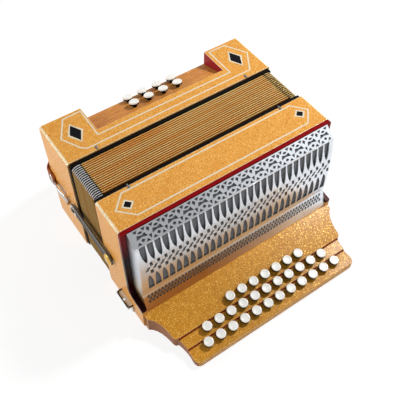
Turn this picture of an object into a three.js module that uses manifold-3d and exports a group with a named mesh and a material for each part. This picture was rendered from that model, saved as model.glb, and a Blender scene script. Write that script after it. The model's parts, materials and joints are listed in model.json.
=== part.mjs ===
// Three-row diatonic button accordion, closed, lying on its back.
// Millimetres. X runs along the instrument, +Y from the treble end to the bass end,
// +Z from the back up to the front. The origin is at the middle of the surface it lies on.

import * as THREE from "three";
import { mergeVertices } from "three/addons/utils/BufferGeometryUtils.js";
import Module from "manifold-3d";

const wasm = await Module();
wasm.setup();

// Both boxes
const bodyLength = 310;
const bodyHeight = 172.9;
const trebleDepth = 51.4;
const bellowsGap = 69;
const bassDepth = 75.3;
const endWall = 7.5;
const shellWall = 8;
const edgeRadius = 4;
const seam = 0.3;
const overrun = 2;
const mergeTolerance = 0.0001;

// Foot of the treble cheeks, and the red band along their front edge
const footReach = 34;
const footHeight = 39.6;
const footSlope = THREE.MathUtils.degToRad(10);
const sweepRadius = 14;
const bandDepth = 5.2;
const bandWidth = 7;

// Perforated metal grille, folded along two lines
const grilleSheet = 1;
const grilleEndInset = 8;
const grilleTopDrop = 1.4;
const creaseReach = 21.3;
const creaseHeight = 158.5;
const bendReach = 24.8;
const bendHeight = 58.9;
const grilleFootReach = 33;
const returnSetback = 1;
const clothSheet = 0.8;

// Piercing of the grille: drops and dashes on the main face, a lattice above, diamonds below
const fieldInset = 3.9;
const petalPitch = 10.15;
const petalWidth = 7.8;
const petalLength = 31.5;
const petalShares = [[1, 0], [0.97, 0.36], [0.74, 0.68], [0.38, 0.89]];
const creaseMargin = 0.9;
const bendMargin = 9.6;
const dashWidth = 2.3;
const dashLength = 5.6;
const dashSlant = 1.5;
const sideDashSlant = -0.3;
const sideDashRise = 7.6;
const latticePitch = 20.7;
const diamondWidth = 4.2;
const diamondHeight = 5.8;
const diamondRowStep = 4.5;
const diamondFirstRow = 5.5;
const diamondRows = 3;

// Holes of the lattice as shares: along its pitch from one crossing to the next, and down the strip.
const crossingShares = [
  [[0, 0.11], [0.105, 0.235], [0, 0.385], [-0.105, 0.235]],
  [[-0.1, 0.6], [0.1, 0.6], [0, 0.83]],
];
const bayShares = [
  [[0.12, 0.06], [0.385, 0.06], [0.25, 0.22]],
  [[0.615, 0.06], [0.88, 0.06], [0.75, 0.22]],
  [[0.365, 0.26], [0.44, 0.195], [0.56, 0.195], [0.635, 0.26], [0.56, 0.315], [0.44, 0.315]],
  [[0.165, 0.59], [0.2585, 0.355], [0.5, 0.43], [0.7415, 0.355], [0.835, 0.59], [0.717, 0.565],
    [0.5, 0.515], [0.283, 0.565]],
  [[0.38, 0.735], [0.5, 0.63], [0.62, 0.735], [0.5, 0.83]],
  [[0.1, 0.91], [0.35, 0.91], [0.22, 0.74]],
  [[0.65, 0.91], [0.9, 0.91], [0.78, 0.74]],
];

// Stepped fingerboard
const boardInnerHeight = 30.4;
const boardOuterHeight = 10.5;
const boardLip = 15.8;
const stepRise = 2.3;
const stepOneHeight = 19.2;
const stepTwoHeight = 14.7;
const boardInset = 2.4;
const earLength = 7;
const waistInset = 17;
const waistRun = 8.6;
const shoulderInset = 22.5;
const innerBowInset = 14;
const hollowInset = 27;
const cornerInset = 24.6;
const cornerRise = 10;
const cornerRun = 8;
const tongueClearance = 1;

// Treble buttons: three rows on one pitch, the middle row half a pitch along
const treblePitch = 18.88;
const trebleStart = -103.6;
const innerRowReach = 71.6;
const middleRowStep = 15.8;
const outerRowStep = 16.8;
const trebleTilt = THREE.MathUtils.degToRad(8);

// One button: cap on a stem that runs in a hole
const capRadius = 6.75;
const capHeight = 4.1;
const capRound = 0.9;
const capDome = 0.35;
const capSides = 12;
const capRise = 3.9;
const stemRadius = 2.4;
const stemInHole = 4.6;
const buttonTravel = 3;
const holeClearance = 0.3;
const holeSides = 8;
const bottomClearance = 0.4;

// Treble inside: board with pallet holes, and the reed block behind it
const soundboardSheet = 6;
const soundboardSetback = 4;
const palletHoleLength = 13;
const palletHoleHeight = 7;
const palletRowLow = 62;
const palletRowStep = 34;
const reedBaseSheet = 4;
const reedBlockLength = 250;
const reedBlockHeight = 26;
const reedBlockDepth = 26;
const bassReedDepth = 18;
const reedBlockTaper = 7;
const reedBlockLow = 42;
const reedBlockStep = 56;
const reedChambers = 12;
const chamberDepth = 9;
const chamberRib = 4;

// Bellows and their two frames
const frameDepth = 5;
const frameInset = 1.6;
const frameRim = 15;
const foldCount = 18;
const foldDepth = 17;
const foldInset = 2.6;
const foldSkin = 5;
const foldCorner = 7;

// Bass end: recess for the fingers, cover and reed block
const recessStart = -96;
const recessEnd = 98;
const recessDepth = 44.8;
const recessDrop = 20.5;
const recessSlope = THREE.MathUtils.degToRad(16);
const recessWall = 5;
const panelSheet = 5;
const panelSeat = 6;
const coverSheet = 6;
const bassColumns = 4;
const bassPitch = 22.7;
const bassMiddle = 4.1;
const bassRowNear = 24.6;
const bassRowFar = 7.4;

// Air key on the end of the bass box
const keyLength = 36;
const keyWidth = 12;
const keySheet = 1.6;
const keyBulge = 3.2;
const keyStandoff = 3.4;
const keyHeight = 78;
const keyBack = 26;
const keyBarrel = 2;
const keyPin = 1.1;
const pinClearance = 0.3;
const keyEar = 3;
const keySteps = 10;

// Hand strap over the bass cover
const handStrapWidth = 38;
const handStrapSheet = 3.6;
const handStrapHeight = 60;
const handStrapTab = 12;
const handStrapCorner = 9;
const handStrapArch = 30;
const shoulderShare = 0.88;
const handStrapSteps = 36;

// Bellows straps on both ends, their studs, and the shoulder strap brackets
const strapWidth = 18;
const strapSheet = 2.6;
const strapHeight = 78;
const strapHold = 15;
const strapReach = 17;
const studRadius = 5;
const studRise = 1.6;
const snapRadius = 7;
const snapRise = 3;
const rivetRadius = 5;
const rivetRise = 1.8;
const roundSides = 16;
const bracketLength = 31;
const bracketWidth = 8;
const bracketHeight = 16;
const bracketSheet = 1.8;
const bracketTop = 19;
const bracketStart = 10;
const bracketHole = 1.7;

// Derived places
const halfLength = bodyLength / 2;
const bellowsStart = trebleDepth;
const bassStart = trebleDepth + bellowsGap;
const bassEnd = bassStart + bassDepth;
const innerHalf = halfLength - endWall;
const trebleRows = [
  { name: "outer", count: 12, first: trebleStart, reach: innerRowReach + middleRowStep + outerRowStep },
  { name: "middle", count: 11, first: trebleStart + treblePitch / 2, reach: innerRowReach + middleRowStep },
  { name: "inner", count: 7, first: trebleStart + treblePitch * 3, reach: innerRowReach },
];
const [outerRow, middleRow] = trebleRows;
const stepOneReach = middleRow.reach - capRadius;
const stepTwoReach = outerRow.reach - capRadius;
const boardReach = outerRow.reach + boardLip;

// Solids

const basis = (u, v, w) => new THREE.Matrix4().makeBasis(u, v, w);
const axisX = new THREE.Vector3(1, 0, 0);
const axisY = new THREE.Vector3(0, 1, 0);
const axisZ = new THREE.Vector3(0, 0, 1);
const alongX = basis(axisY, axisZ, axisX);
const alongY = basis(axisZ, axisX, axisY);

function solid(geometry) {
  const bare = geometry.index ? geometry.toNonIndexed() : geometry.clone();
  bare.deleteAttribute("normal");
  bare.deleteAttribute("uv");
  const merged = mergeVertices(bare, mergeTolerance);
  const vertProperties = new Float32Array(merged.attributes.position.array);
  const triVerts = new Uint32Array(merged.index.array);
  return new wasm.Manifold(new wasm.Mesh({ numProp: 3, vertProperties, triVerts }));
}

function geometry(manifold) {
  const mesh = manifold.getMesh();
  const result = new THREE.BufferGeometry();
  result.setAttribute("position", new THREE.BufferAttribute(mesh.vertProperties, 3));
  result.setIndex(new THREE.BufferAttribute(mesh.triVerts, 1));
  const flat = result.toNonIndexed();
  flat.computeVertexNormals();
  return flat;
}

function outline(points) {
  return new THREE.Shape(points.map(([u, v]) => new THREE.Vector2(u, v)));
}

function extrude(shape, start, end, steps = 4) {
  const options = { depth: end - start, bevelEnabled: false, curveSegments: steps };
  return new THREE.ExtrudeGeometry(shape, options).translate(0, 0, start);
}

// The outline is drawn in (y, z) and runs from one x to another.
function prismX(shape, start, end, steps) {
  return solid(extrude(shape, start, end, steps).applyMatrix4(alongX));
}

// The outline is drawn in (z, x) and runs from one y to another.
function prismY(shape, start, end, steps) {
  return solid(extrude(shape, start, end, steps).applyMatrix4(alongY));
}

function prismZ(shape, start, end, steps) {
  return solid(extrude(shape, start, end, steps));
}

function block(x0, x1, y0, y1, z0, z1) {
  const box = new THREE.BoxGeometry(x1 - x0, y1 - y0, z1 - z0);
  return solid(box.translate((x0 + x1) / 2, (y0 + y1) / 2, (z0 + z1) / 2));
}

function roundedRectangle(u0, u1, v0, v1, radius) {
  const shape = new THREE.Shape();
  shape.moveTo(u0 + radius, v0);
  shape.absarc(u1 - radius, v0 + radius, radius, -Math.PI / 2, 0);
  shape.absarc(u1 - radius, v1 - radius, radius, 0, Math.PI / 2);
  shape.absarc(u0 + radius, v1 - radius, radius, Math.PI / 2, Math.PI);
  shape.absarc(u0 + radius, v0 + radius, radius, Math.PI, Math.PI * 1.5);
  return shape;
}

// Section of both boxes, with rounded long edges, drawn in (z, x).
function bodySection(inset = 0) {
  return roundedRectangle(inset, bodyHeight - inset, inset - halfLength, halfLength - inset, edgeRadius);
}

function pierce(sheet, cutters) {
  return cutters.reduce((left, cutter) => left.subtract(cutter), sheet);
}

// A round peg along X with its middle at (y, z).
function pegX(radius, x0, x1, y, z) {
  const peg = new THREE.CylinderGeometry(radius, radius, x1 - x0, roundSides);
  return solid(peg.rotateZ(Math.PI / 2).translate((x0 + x1) / 2, y, z));
}

function pegZ(radius, x, y, z0, z1) {
  const peg = new THREE.CylinderGeometry(radius, radius, z1 - z0, roundSides);
  return solid(peg.rotateX(Math.PI / 2).translate(x, y, (z0 + z1) / 2));
}

// A line of points moved sideways, each bend mitred.
function offsetLine(points, distance) {
  const unit = (a, b) => new THREE.Vector2(b[0] - a[0], b[1] - a[1]).normalize();
  return points.map((point, i) => {
    const before = unit(points[Math.max(i - 1, 0)], points[Math.max(i, 1)]);
    const last = points.length - 1;
    const after = unit(points[Math.min(i, last - 1)], points[Math.min(i + 1, last)]);
    const normal = new THREE.Vector2(-before.y - after.y, before.x + after.x).normalize();
    const stretch = normal.x * -before.y + normal.y * before.x;
    return [point[0] + (normal.x * distance) / stretch, point[1] + (normal.y * distance) / stretch];
  });
}

function ribbon(points, from, to) {
  return outline([...offsetLine(points, from), ...offsetLine(points, to).reverse()]);
}

const root = new THREE.Group();
const place = new THREE.Group();
root.add(place);

function add(name, shape, color, roughness, metalness = 0) {
  const material = new THREE.MeshStandardMaterial({ color, roughness, metalness });
  const mesh = new THREE.Mesh(shape.isBufferGeometry ? shape : geometry(shape), material);
  mesh.name = name;
  place.add(mesh);
  return mesh;
}

const gold = 0xe9aa50;
const deepGold = 0xc39137;
const red = 0x821414;
const black = 0x141210;
const wood = 0xc98a4e;
const aluminium = 0xc9cacb;
const brass = 0xc9a24a;
const nickel = 0xb9bcc0;
const pearl = 0xf2f0ea;
const leather = 0x7a4a26;
const darkLeather = 0x4c4844;
const bellowsCloth = 0xa0783a;
const gauze = 0x3a3c40;

// Treble box

// Front edge of a cheek: straight down, a quarter sweep, then out along the foot.
function cheekEdge(offset) {
  const sweepTurn = Math.PI / 2 - footSlope;
  const centreHeight = footHeight + sweepRadius * Math.sin(sweepTurn);
  const radius = sweepRadius - offset;
  const sweepSteps = 6;
  const points = [[-offset, bodyHeight]];
  for (let i = 0; i <= sweepSteps; i += 1) {
    const turn = (-sweepTurn * i) / sweepSteps;
    points.push([radius * Math.cos(turn) - sweepRadius, radius * Math.sin(turn) + centreHeight]);
  }
  const [lastY, lastZ] = points[points.length - 1];
  points.push([-footReach, lastZ - (footReach + lastY) * Math.tan(footSlope)]);
  return points;
}

function trebleCase() {
  const profile = outline([...cheekEdge(0), [-footReach, 0], [trebleDepth, 0], [trebleDepth, bodyHeight]]);
  const outer = prismX(profile, -halfLength, halfLength);
  const rounded = outer.intersect(prismY(bodySection(), -footReach - overrun, trebleDepth + overrun));
  const chest = block(-innerHalf, innerHalf, -footReach - overrun, trebleDepth + overrun, shellWall,
    bodyHeight - shellWall);
  const throat = block(-innerHalf, innerHalf, -footReach - overrun, 0, -overrun, bodyHeight - shellWall);
  return rounded.subtract(chest).subtract(throat);
}

function trebleEdgeBand() {
  const strip = outline([...cheekEdge(seam), ...cheekEdge(bandDepth).reverse()]);
  const outer = prismX(strip, -halfLength, halfLength);
  const rounded = outer.intersect(prismY(bodySection(), -footReach - overrun, overrun));
  const inside = halfLength - bandWidth;
  const opening = block(-inside, inside, -footReach - overrun, overrun, -overrun, bodyHeight - bandWidth);
  return rounded.subtract(opening);
}

// Grille

const grilleLine = [
  [-bandDepth - seam - grilleSheet, bodyHeight - grilleTopDrop],
  [-creaseReach, creaseHeight],
  [-bendReach, bendHeight],
  [-grilleFootReach, boardInnerHeight + seam],
];
const grilleHalf = halfLength - grilleEndInset;

// A drop with a flat wide end at v0, leaning over to its point at v1.
function petal(u, v0, v1, lean) {
  const half = petalWidth / 2;
  const rise = v1 - v0;
  const middle = (along) => u + lean * along * along;
  const left = petalShares.map(([wide, along]) => [middle(along) - half * wide, v0 + rise * along]);
  const right = petalShares.map(([wide, along]) => [middle(along) + half * wide, v0 + rise * along]);
  return outline([...left, [u + lean, v1], ...right.reverse()]);
}

function dash(u, v, slant) {
  const width = dashWidth / 2;
  const length = dashLength / 2;
  return outline([[u - width - slant, v - length], [u + width - slant, v - length],
    [u + width + slant, v + length], [u - width + slant, v + length]]);
}

// Bevelled strip: crossing bars with a scallop under each bay.
function latticeHoles(length) {
  const holes = [];
  const bays = Math.floor((2 * grilleHalf - fieldInset) / latticePitch);
  const start = fieldInset - grilleHalf;
  for (let bay = 0; bay <= bays; bay += 1) {
    const shapes = bay === 0 ? bayShares : [...crossingShares, ...bayShares];
    const wanted = bay === bays ? crossingShares : shapes;
    for (const shares of wanted) {
      const points = shares.map(([across, down]) =>
        [start + latticePitch * (bay + across), length * (1 - down)]);
      if (points.every(([u]) => u < grilleHalf - grilleSheet)) {
        holes.push(outline(points));
      }
    }
  }
  return holes;
}

// Main face: two rows of drops point to point, with three dashes between each two pairs.
function petalHoles(length) {
  const holes = [];
  const count = Math.floor((2 * grilleHalf - fieldInset) / petalPitch);
  const lean = petalPitch / 4;
  const high = length - creaseMargin;
  const middle = (high + bendMargin) / 2;
  for (let i = 0; i < count; i += 1) {
    const u = fieldInset - grilleHalf + petalPitch / 2 + i * petalPitch;
    const point = u + lean;
    holes.push(petal(u, high, high - petalLength, lean));
    holes.push(petal(u + petalPitch / 2, bendMargin, bendMargin + petalLength, -lean));
    holes.push(dash(point, middle, dashSlant));
    holes.push(dash(point + petalPitch / 2, middle + sideDashRise, sideDashSlant));
    holes.push(dash(point + petalPitch / 2, middle - sideDashRise, sideDashSlant));
  }
  return holes;
}

// Foot strip: rows of upright diamonds, each row half a pitch along from the last.
function footHoles(length) {
  const holes = [];
  const pitch = petalPitch / 2;
  const half = diamondWidth / 2;
  const tall = diamondHeight / 2;
  const count = Math.floor((2 * (grilleHalf - fieldInset)) / pitch);
  for (let row = 0; row < diamondRows; row += 1) {
    const v = length - diamondFirstRow - row * diamondRowStep;
    const inRow = count - (row % 2);
    for (let i = 0; i < inRow; i += 1) {
      const u = (i - (inRow - 1) / 2) * pitch;
      holes.push(outline([[u - half, v], [u, v - tall], [u + half, v], [u, v + tall]]));
    }
  }
  return holes;
}

// One flat panel between two points of the folded profile, its outer face on the line.
function grillePanel(lower, upper, holesFor) {
  const rise = new THREE.Vector3(0, upper[0] - lower[0], upper[1] - lower[1]);
  const length = rise.length();
  const lap = grilleSheet / 2;
  const edge = outline([[-grilleHalf, -lap], [grilleHalf, -lap], [grilleHalf, length + lap],
    [-grilleHalf, length + lap]]);
  const sheet = prismZ(edge, -grilleSheet, 0);
  const cutters = holesFor(length).map((shape) => prismZ(shape, -grilleSheet - overrun, overrun));
  const up = rise.normalize();
  const out = new THREE.Vector3().crossVectors(axisX, up);
  const turn = basis(axisX, up, out).setPosition(0, lower[0], lower[1]);
  return pierce(sheet, cutters).transform(turn.elements);
}

// The sheet turned back at one end, as far as the cheek behind the red band.
function grilleReturn(x0, x1) {
  const [top] = grilleLine;
  const clear = -bandDepth - seam * 2;
  const ledge = bodyHeight - bandWidth - seam;
  const foot = boardInnerHeight + seam;
  const back = [[-returnSetback, foot], [-returnSetback, ledge], [clear, ledge], [clear, top[1]]];
  return prismX(outline([...grilleLine, ...back]), x0, x1);
}

function trebleGrille() {
  const [top, crease, bend, foot] = grilleLine;
  const bevel = grillePanel(crease, top, latticeHoles);
  const face = grillePanel(bend, crease, petalHoles);
  const skirt = grillePanel(foot, bend, footHoles);
  const trim = block(-halfLength, halfLength, -footReach - overrun, 0, 0, boardInnerHeight + seam);
  const left = grilleReturn(-grilleHalf, grilleSheet - grilleHalf);
  const right = grilleReturn(grilleHalf - grilleSheet, grilleHalf);
  return bevel.add(face).add(skirt).add(left).add(right).subtract(trim);
}

function grilleCloth() {
  const inner = grilleSheet + seam;
  const half = grilleHalf - inner;
  const section = ribbon(grilleLine, inner, inner + clothSheet);
  const sheet = prismX(section, -half, half);
  const floor = block(-half, half, -footReach - overrun, 0, 0, boardInnerHeight + seam);
  const ledge = bodyHeight - bandWidth - seam;
  const keepOut = block(-half, half, -bandDepth - seam, overrun, ledge, bodyHeight);
  return sheet.subtract(floor).subtract(keepOut);
}

// Fingerboard

// Plan of the board: ears in front of the cheeks, bowed ends, and a tongue between the cheeks.
function boardOutline() {
  const shape = new THREE.Shape();
  const left = -halfLength;
  const right = halfLength;
  const ear = footReach + earLength;
  const waistReach = stepOneReach - waistRun;
  const cornerReach = boardReach - cornerRise;
  shape.moveTo(left + boardInset, -footReach - seam);
  shape.lineTo(left + boardInset, -ear);
  shape.quadraticCurveTo(left + innerBowInset, -ear - earLength, left + waistInset, -waistReach);
  shape.quadraticCurveTo(left + waistInset, -stepOneReach, left + shoulderInset, -stepOneReach);
  shape.quadraticCurveTo(left + hollowInset, -stepTwoReach, left + cornerInset, -cornerReach);
  shape.quadraticCurveTo(left + cornerInset, -boardReach, left + cornerInset + cornerRun, -boardReach);
  shape.lineTo(right - cornerInset - cornerRun, -boardReach);
  shape.quadraticCurveTo(right - cornerInset, -boardReach, right - cornerInset, -cornerReach);
  shape.quadraticCurveTo(right - hollowInset, -stepTwoReach, right - shoulderInset, -stepOneReach);
  shape.quadraticCurveTo(right - waistInset, -stepOneReach, right - waistInset, -waistReach);
  shape.quadraticCurveTo(right - innerBowInset, -ear - earLength, right - boardInset, -ear);
  shape.lineTo(right - boardInset, -footReach - seam);
  shape.lineTo(innerHalf - seam, -footReach - seam);
  shape.lineTo(innerHalf - seam, -tongueClearance);
  shape.lineTo(seam - innerHalf, -tongueClearance);
  shape.lineTo(seam - innerHalf, -footReach - seam);
  return shape;
}

// Height of the stepped top at a distance in front of the treble box.
function treadHeight(reach) {
  const slope = (r0, z0, r1, z1) => z0 + ((reach - r0) * (z1 - z0)) / (r1 - r0);
  if (reach < footReach) {
    return boardInnerHeight;
  }
  if (reach < stepOneReach) {
    return slope(footReach, boardInnerHeight, stepOneReach, stepOneHeight);
  }
  if (reach < stepTwoReach) {
    return slope(stepOneReach, stepOneHeight - stepRise, stepTwoReach, stepTwoHeight);
  }
  return slope(stepTwoReach, stepTwoHeight - stepRise, boardReach, boardOuterHeight);
}

function fingerboard() {
  const section = outline([
    [overrun, 0],
    [overrun, boardInnerHeight],
    [-footReach, boardInnerHeight],
    [-stepOneReach, stepOneHeight],
    [-stepOneReach, stepOneHeight - stepRise],
    [-stepTwoReach, stepTwoHeight],
    [-stepTwoReach, stepTwoHeight - stepRise],
    [-boardReach, boardOuterHeight],
    [-boardReach - overrun, boardOuterHeight],
    [-boardReach - overrun, 0],
  ]);
  let board = prismZ(boardOutline(), 0, boardInnerHeight + overrun, 5);
  board = board.intersect(prismX(section, -halfLength, halfLength));
  const holes = [];
  for (const row of trebleRows) {
    for (let i = 0; i < row.count; i += 1) {
      holes.push(stemHole(trebleSeat(row, i)));
    }
  }
  return pierce(board, holes);
}

// Buttons

// Where a button's axis meets the board, and which way it points.
function trebleSeat(row, i) {
  const x = row.first + i * treblePitch;
  const point = new THREE.Vector3(x, -row.reach, treadHeight(row.reach));
  return { point, tilt: trebleTilt };
}

function bassSeat(row, i) {
  const back = row === 0 ? bassRowNear : bassRowFar;
  const x = bassMiddle + (i - (bassColumns - 1) / 2) * bassPitch;
  const point = new THREE.Vector3(x, bassEnd - back, recessHeight(back));
  return { point, tilt: -recessSlope };
}

function seatMatrix(seat) {
  return new THREE.Matrix4().makeRotationX(seat.tilt).setPosition(seat.point);
}

function stemHole(seat) {
  const depth = stemInHole + buttonTravel + bottomClearance;
  const radius = (stemRadius + holeClearance) / Math.cos(Math.PI / holeSides);
  const drill = new THREE.CylinderGeometry(radius, radius, depth + overrun, holeSides);
  drill.rotateX(Math.PI / 2).translate(0, 0, (overrun - depth) / 2);
  return solid(drill.applyMatrix4(seatMatrix(seat)));
}

function buttonGeometry() {
  const top = capRise + capHeight;
  const profile = [
    [0, -stemInHole],
    [stemRadius, -stemInHole],
    [stemRadius, capRise],
    [capRadius, capRise],
    [capRadius, top - capRound],
    [capRadius - capRound, top],
    [0, top + capDome],
  ];
  const points = profile.map(([r, h]) => new THREE.Vector2(r, h));
  return new THREE.LatheGeometry(points, capSides).rotateX(Math.PI / 2);
}

// Treble inside

function trebleSoundboard() {
  const half = innerHalf - seam;
  const low = shellWall + seam;
  const high = bodyHeight - shellWall - seam;
  const base = outline([[low, -half], [high, -half], [high, half], [low, half]]);
  const back = soundboardSetback + soundboardSheet;
  const cutters = [];
  trebleRows.forEach((row, level) => {
    const z = palletRowLow + level * palletRowStep;
    for (let i = 0; i < row.count; i += 1) {
      const x = row.first + i * treblePitch;
      const reach = palletHoleLength / 2;
      cutters.push(block(x - reach, x + reach, soundboardSetback - overrun, back + overrun,
        z, z + palletHoleHeight));
    }
  });
  return pierce(prismY(base, soundboardSetback, back), cutters);
}

// Two tapered blocks standing on one board, with a row of reed chambers along each.
function reedBlock(base, depth, board) {
  const foot = base + reedBaseSheet;
  const half = reedBlockLength / 2;
  let body = board;
  for (let level = 0; level < 2; level += 1) {
    const low = reedBlockLow + level * reedBlockStep;
    const high = low + reedBlockHeight;
    const section = outline([[foot - seam, low], [foot + depth, low + reedBlockTaper],
      [foot + depth, high - reedBlockTaper], [foot - seam, high]]);
    body = body.add(prismX(section, -half, half));
    const pitch = reedBlockLength / reedChambers;
    for (let i = 0; i < reedChambers; i += 1) {
      const x0 = -half + i * pitch + chamberRib / 2;
      const x1 = x0 + pitch - chamberRib;
      const mouth = foot + chamberRib;
      const end = foot + depth - chamberRib;
      body = body.subtract(block(x0, x1, mouth, end, high - chamberDepth, high + overrun));
    }
  }
  return body;
}

// A strip just long enough for the blocks, which lies on the soundboard.
function blockStrip(base) {
  const half = reedBlockLength / 2;
  const high = reedBlockLow + reedBlockStep + reedBlockHeight;
  return block(-half, half, base, base + reedBaseSheet, reedBlockLow, high);
}

// A board that fills the inside of a box from wall to wall.
function fullBoard(base) {
  const half = innerHalf - seam;
  const low = shellWall + seam;
  return block(-half, half, base, base + reedBaseSheet, low, bodyHeight - low);
}

// Bellows

function frame(start) {
  const inset = frameInset;
  const rim = roundedRectangle(inset, bodyHeight - inset, inset - halfLength, halfLength - inset, edgeRadius);
  const inner = frameInset + frameRim;
  const bore = block(inner - halfLength, halfLength - inner, start - overrun, start + frameDepth + overrun,
    inner, bodyHeight - inner);
  return prismY(rim, start, start + frameDepth).subtract(bore);
}

// One closed loop of the pleats at a given inset from the box outline.
function pleatRing(inset, y) {
  const cut = foldCorner * (1 - inset / (foldInset + foldDepth + foldSkin) / 2);
  const x = halfLength - inset;
  const z0 = inset;
  const z1 = bodyHeight - inset;
  const corner = cut * (1 - Math.SQRT1_2);
  return [
    [x - cut, z0], [x - corner, z0 + corner], [x, z0 + cut],
    [x, z1 - cut], [x - corner, z1 - corner], [x - cut, z1],
    [cut - x, z1], [corner - x, z1 - corner], [-x, z1 - cut],
    [-x, z0 + cut], [corner - x, z0 + corner], [cut - x, z0],
  ].map(([px, pz]) => [px, y, pz]);
}

// A pleated tube: the outer skin zigzags along Y and the inner skin follows it.
function bellows() {
  const start = bellowsStart + frameDepth + seam;
  const end = bassStart - frameDepth - seam;
  const edges = foldCount * 2;
  const rings = [];
  for (let i = 0; i <= edges; i += 1) {
    const inset = foldInset + (i % 2 ? 0 : foldDepth);
    rings.push(pleatRing(inset, start + ((end - start) * i) / edges));
  }
  for (let i = edges; i >= 0; i -= 1) {
    const inset = foldInset + foldSkin + (i % 2 ? 0 : foldDepth);
    rings.push(pleatRing(inset, start + ((end - start) * i) / edges));
  }
  const ringSize = rings[0].length;
  const positions = rings.flat(2);
  const index = [];
  for (let r = 0; r < rings.length; r += 1) {
    const next = (r + 1) % rings.length;
    for (let i = 0; i < ringSize; i += 1) {
      const j = (i + 1) % ringSize;
      const a = r * ringSize + i;
      const b = r * ringSize + j;
      const c = next * ringSize + j;
      const d = next * ringSize + i;
      index.push(a, c, b, a, d, c);
    }
  }
  const tube = new THREE.BufferGeometry();
  tube.setAttribute("position", new THREE.BufferAttribute(new Float32Array(positions), 3));
  tube.setIndex(index);
  return tube;
}

// Bass end

// Height of the sloping recess floor at a distance in from the outer face.
function recessHeight(back) {
  return bodyHeight - recessDrop + back * Math.tan(recessSlope);
}

// The recess above a surface that lies a given depth under its floor, cut from both sides.
function recessPrism(under, x0, x1, near, far) {
  const drop = under / Math.cos(recessSlope);
  const profile = outline([
    [bassEnd - near, recessHeight(near) - drop],
    [bassEnd - near, bodyHeight + overrun],
    [bassEnd - far, bodyHeight + overrun],
    [bassEnd - far, recessHeight(far) - drop],
  ]);
  return prismX(profile, x0, x1);
}

function bassCase() {
  const outer = prismY(bodySection(), bassStart, bassEnd);
  const chest = block(-innerHalf, innerHalf, bassStart - overrun, bassEnd + overrun, shellWall,
    bodyHeight - shellWall);
  const wall = recessWall;
  const box = block(-halfLength, halfLength, bassStart, bassEnd, 0, bodyHeight);
  const under = panelSheet + panelSeat;
  const hood = recessPrism(under, recessStart - wall, recessEnd + wall, 0, recessDepth + wall).intersect(box);
  const pocket = recessPrism(panelSheet + seam, recessStart, recessEnd, -overrun, recessDepth);
  const well = recessPrism(under + overrun, recessStart + panelSeat, recessEnd - panelSeat,
    panelSeat, recessDepth - panelSeat);
  return outer.subtract(chest).add(hood).subtract(pocket).subtract(well).add(keyLugs());
}

function bassButtonPanel() {
  const x0 = recessStart + seam;
  const x1 = recessEnd - seam;
  const whole = recessPrism(panelSheet, x0, x1, seam, recessDepth - seam);
  const above = recessPrism(0, recessStart - overrun, recessEnd + overrun, -overrun, recessDepth + overrun);
  let panel = whole.subtract(above);
  for (let row = 0; row < 2; row += 1) {
    for (let i = 0; i < bassColumns; i += 1) {
      panel = panel.subtract(stemHole(bassSeat(row, i)));
    }
  }
  return panel;
}

function bassCover() {
  const half = innerHalf - seam;
  const low = shellWall + seam;
  const high = bodyHeight - shellWall - seam;
  const ledge = recessHeight(0) - (panelSheet + panelSeat) / Math.cos(recessSlope) - seam;
  const x0 = recessStart - recessWall - seam;
  const x1 = recessEnd + recessWall + seam;
  const shape = outline([[low, -half], [low, half], [high, half], [high, x1], [ledge, x1], [ledge, x0],
    [high, x0], [high, -half]]);
  return prismY(shape, bassEnd - coverSheet, bassEnd);
}

// Air key

function keyPivotY() {
  return bassStart + keyBack;
}

// Two ears on the end of the box, bored for the key's pin.
function keyLugs() {
  const x = -halfLength - keyStandoff;
  const half = keyWidth / 2 + seam;
  const reach = keyBarrel + seam;
  const y0 = keyPivotY() - reach;
  const y1 = keyPivotY() + reach;
  const inside = overrun - halfLength;
  const ear = half + keyEar;
  const lower = block(x - keyBarrel, inside, y0, y1, keyHeight - ear, keyHeight - half);
  const upper = block(x - keyBarrel, inside, y0, y1, keyHeight + half, keyHeight + ear);
  const far = ear + overrun;
  const bore = pegZ(keyPin + pinClearance, x, keyPivotY(), keyHeight - far, keyHeight + far);
  return lower.add(upper).subtract(bore);
}

// A thumb plate that bows out from the end of the box, turning on a barrel.
function airKey() {
  const x = -halfLength - keyStandoff;
  const points = [];
  for (let i = 0; i <= keySteps; i += 1) {
    const along = i / keySteps;
    points.push([x - keyBulge * Math.sin(Math.PI * along), keyPivotY() + keyLength * along]);
  }
  const low = keyHeight - keyWidth / 2;
  const plate = prismZ(ribbon(points, -keySheet / 2, keySheet / 2), low, low + keyWidth);
  const barrel = pegZ(keyBarrel, x, keyPivotY(), low, low + keyWidth);
  const ends = keyWidth / 2 + seam + keyEar;
  const pin = pegZ(keyPin, x, keyPivotY(), keyHeight - ends, keyHeight + ends);
  return plate.add(barrel).add(pin);
}

// Straps and brackets

function handStrap() {
  const half = halfLength + seam + handStrapSheet / 2;
  const start = bassEnd - handStrapTab;
  const corner = handStrapCorner;
  const side = [
    new THREE.Vector3(-half, start, 0),
    new THREE.Vector3(-half, bassEnd - corner / 2, 0),
    new THREE.Vector3(-half, bassEnd + corner / 2, 0),
    new THREE.Vector3(-half + corner, bassEnd + corner + handStrapSheet, 0),
    new THREE.Vector3(-half / 2, bassEnd + handStrapArch * shoulderShare, 0),
  ];
  const mirrored = side.map((p) => new THREE.Vector3(-p.x, p.y, 0)).reverse();
  const middle = new THREE.Vector3(0, bassEnd + handStrapArch, 0);
  const curve = new THREE.CatmullRomCurve3([...side, middle, ...mirrored], false, "centripetal");
  const points = curve.getSpacedPoints(handStrapSteps).map((p) => [p.x, p.y]);
  const section = ribbon(points, -handStrapSheet / 2, handStrapSheet / 2);
  return prismZ(section, handStrapHeight, handStrapHeight + handStrapWidth);
}

function strapFree() {
  return trebleDepth - strapReach;
}

function strapHingeY() {
  return bassStart + strapHold;
}

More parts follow.
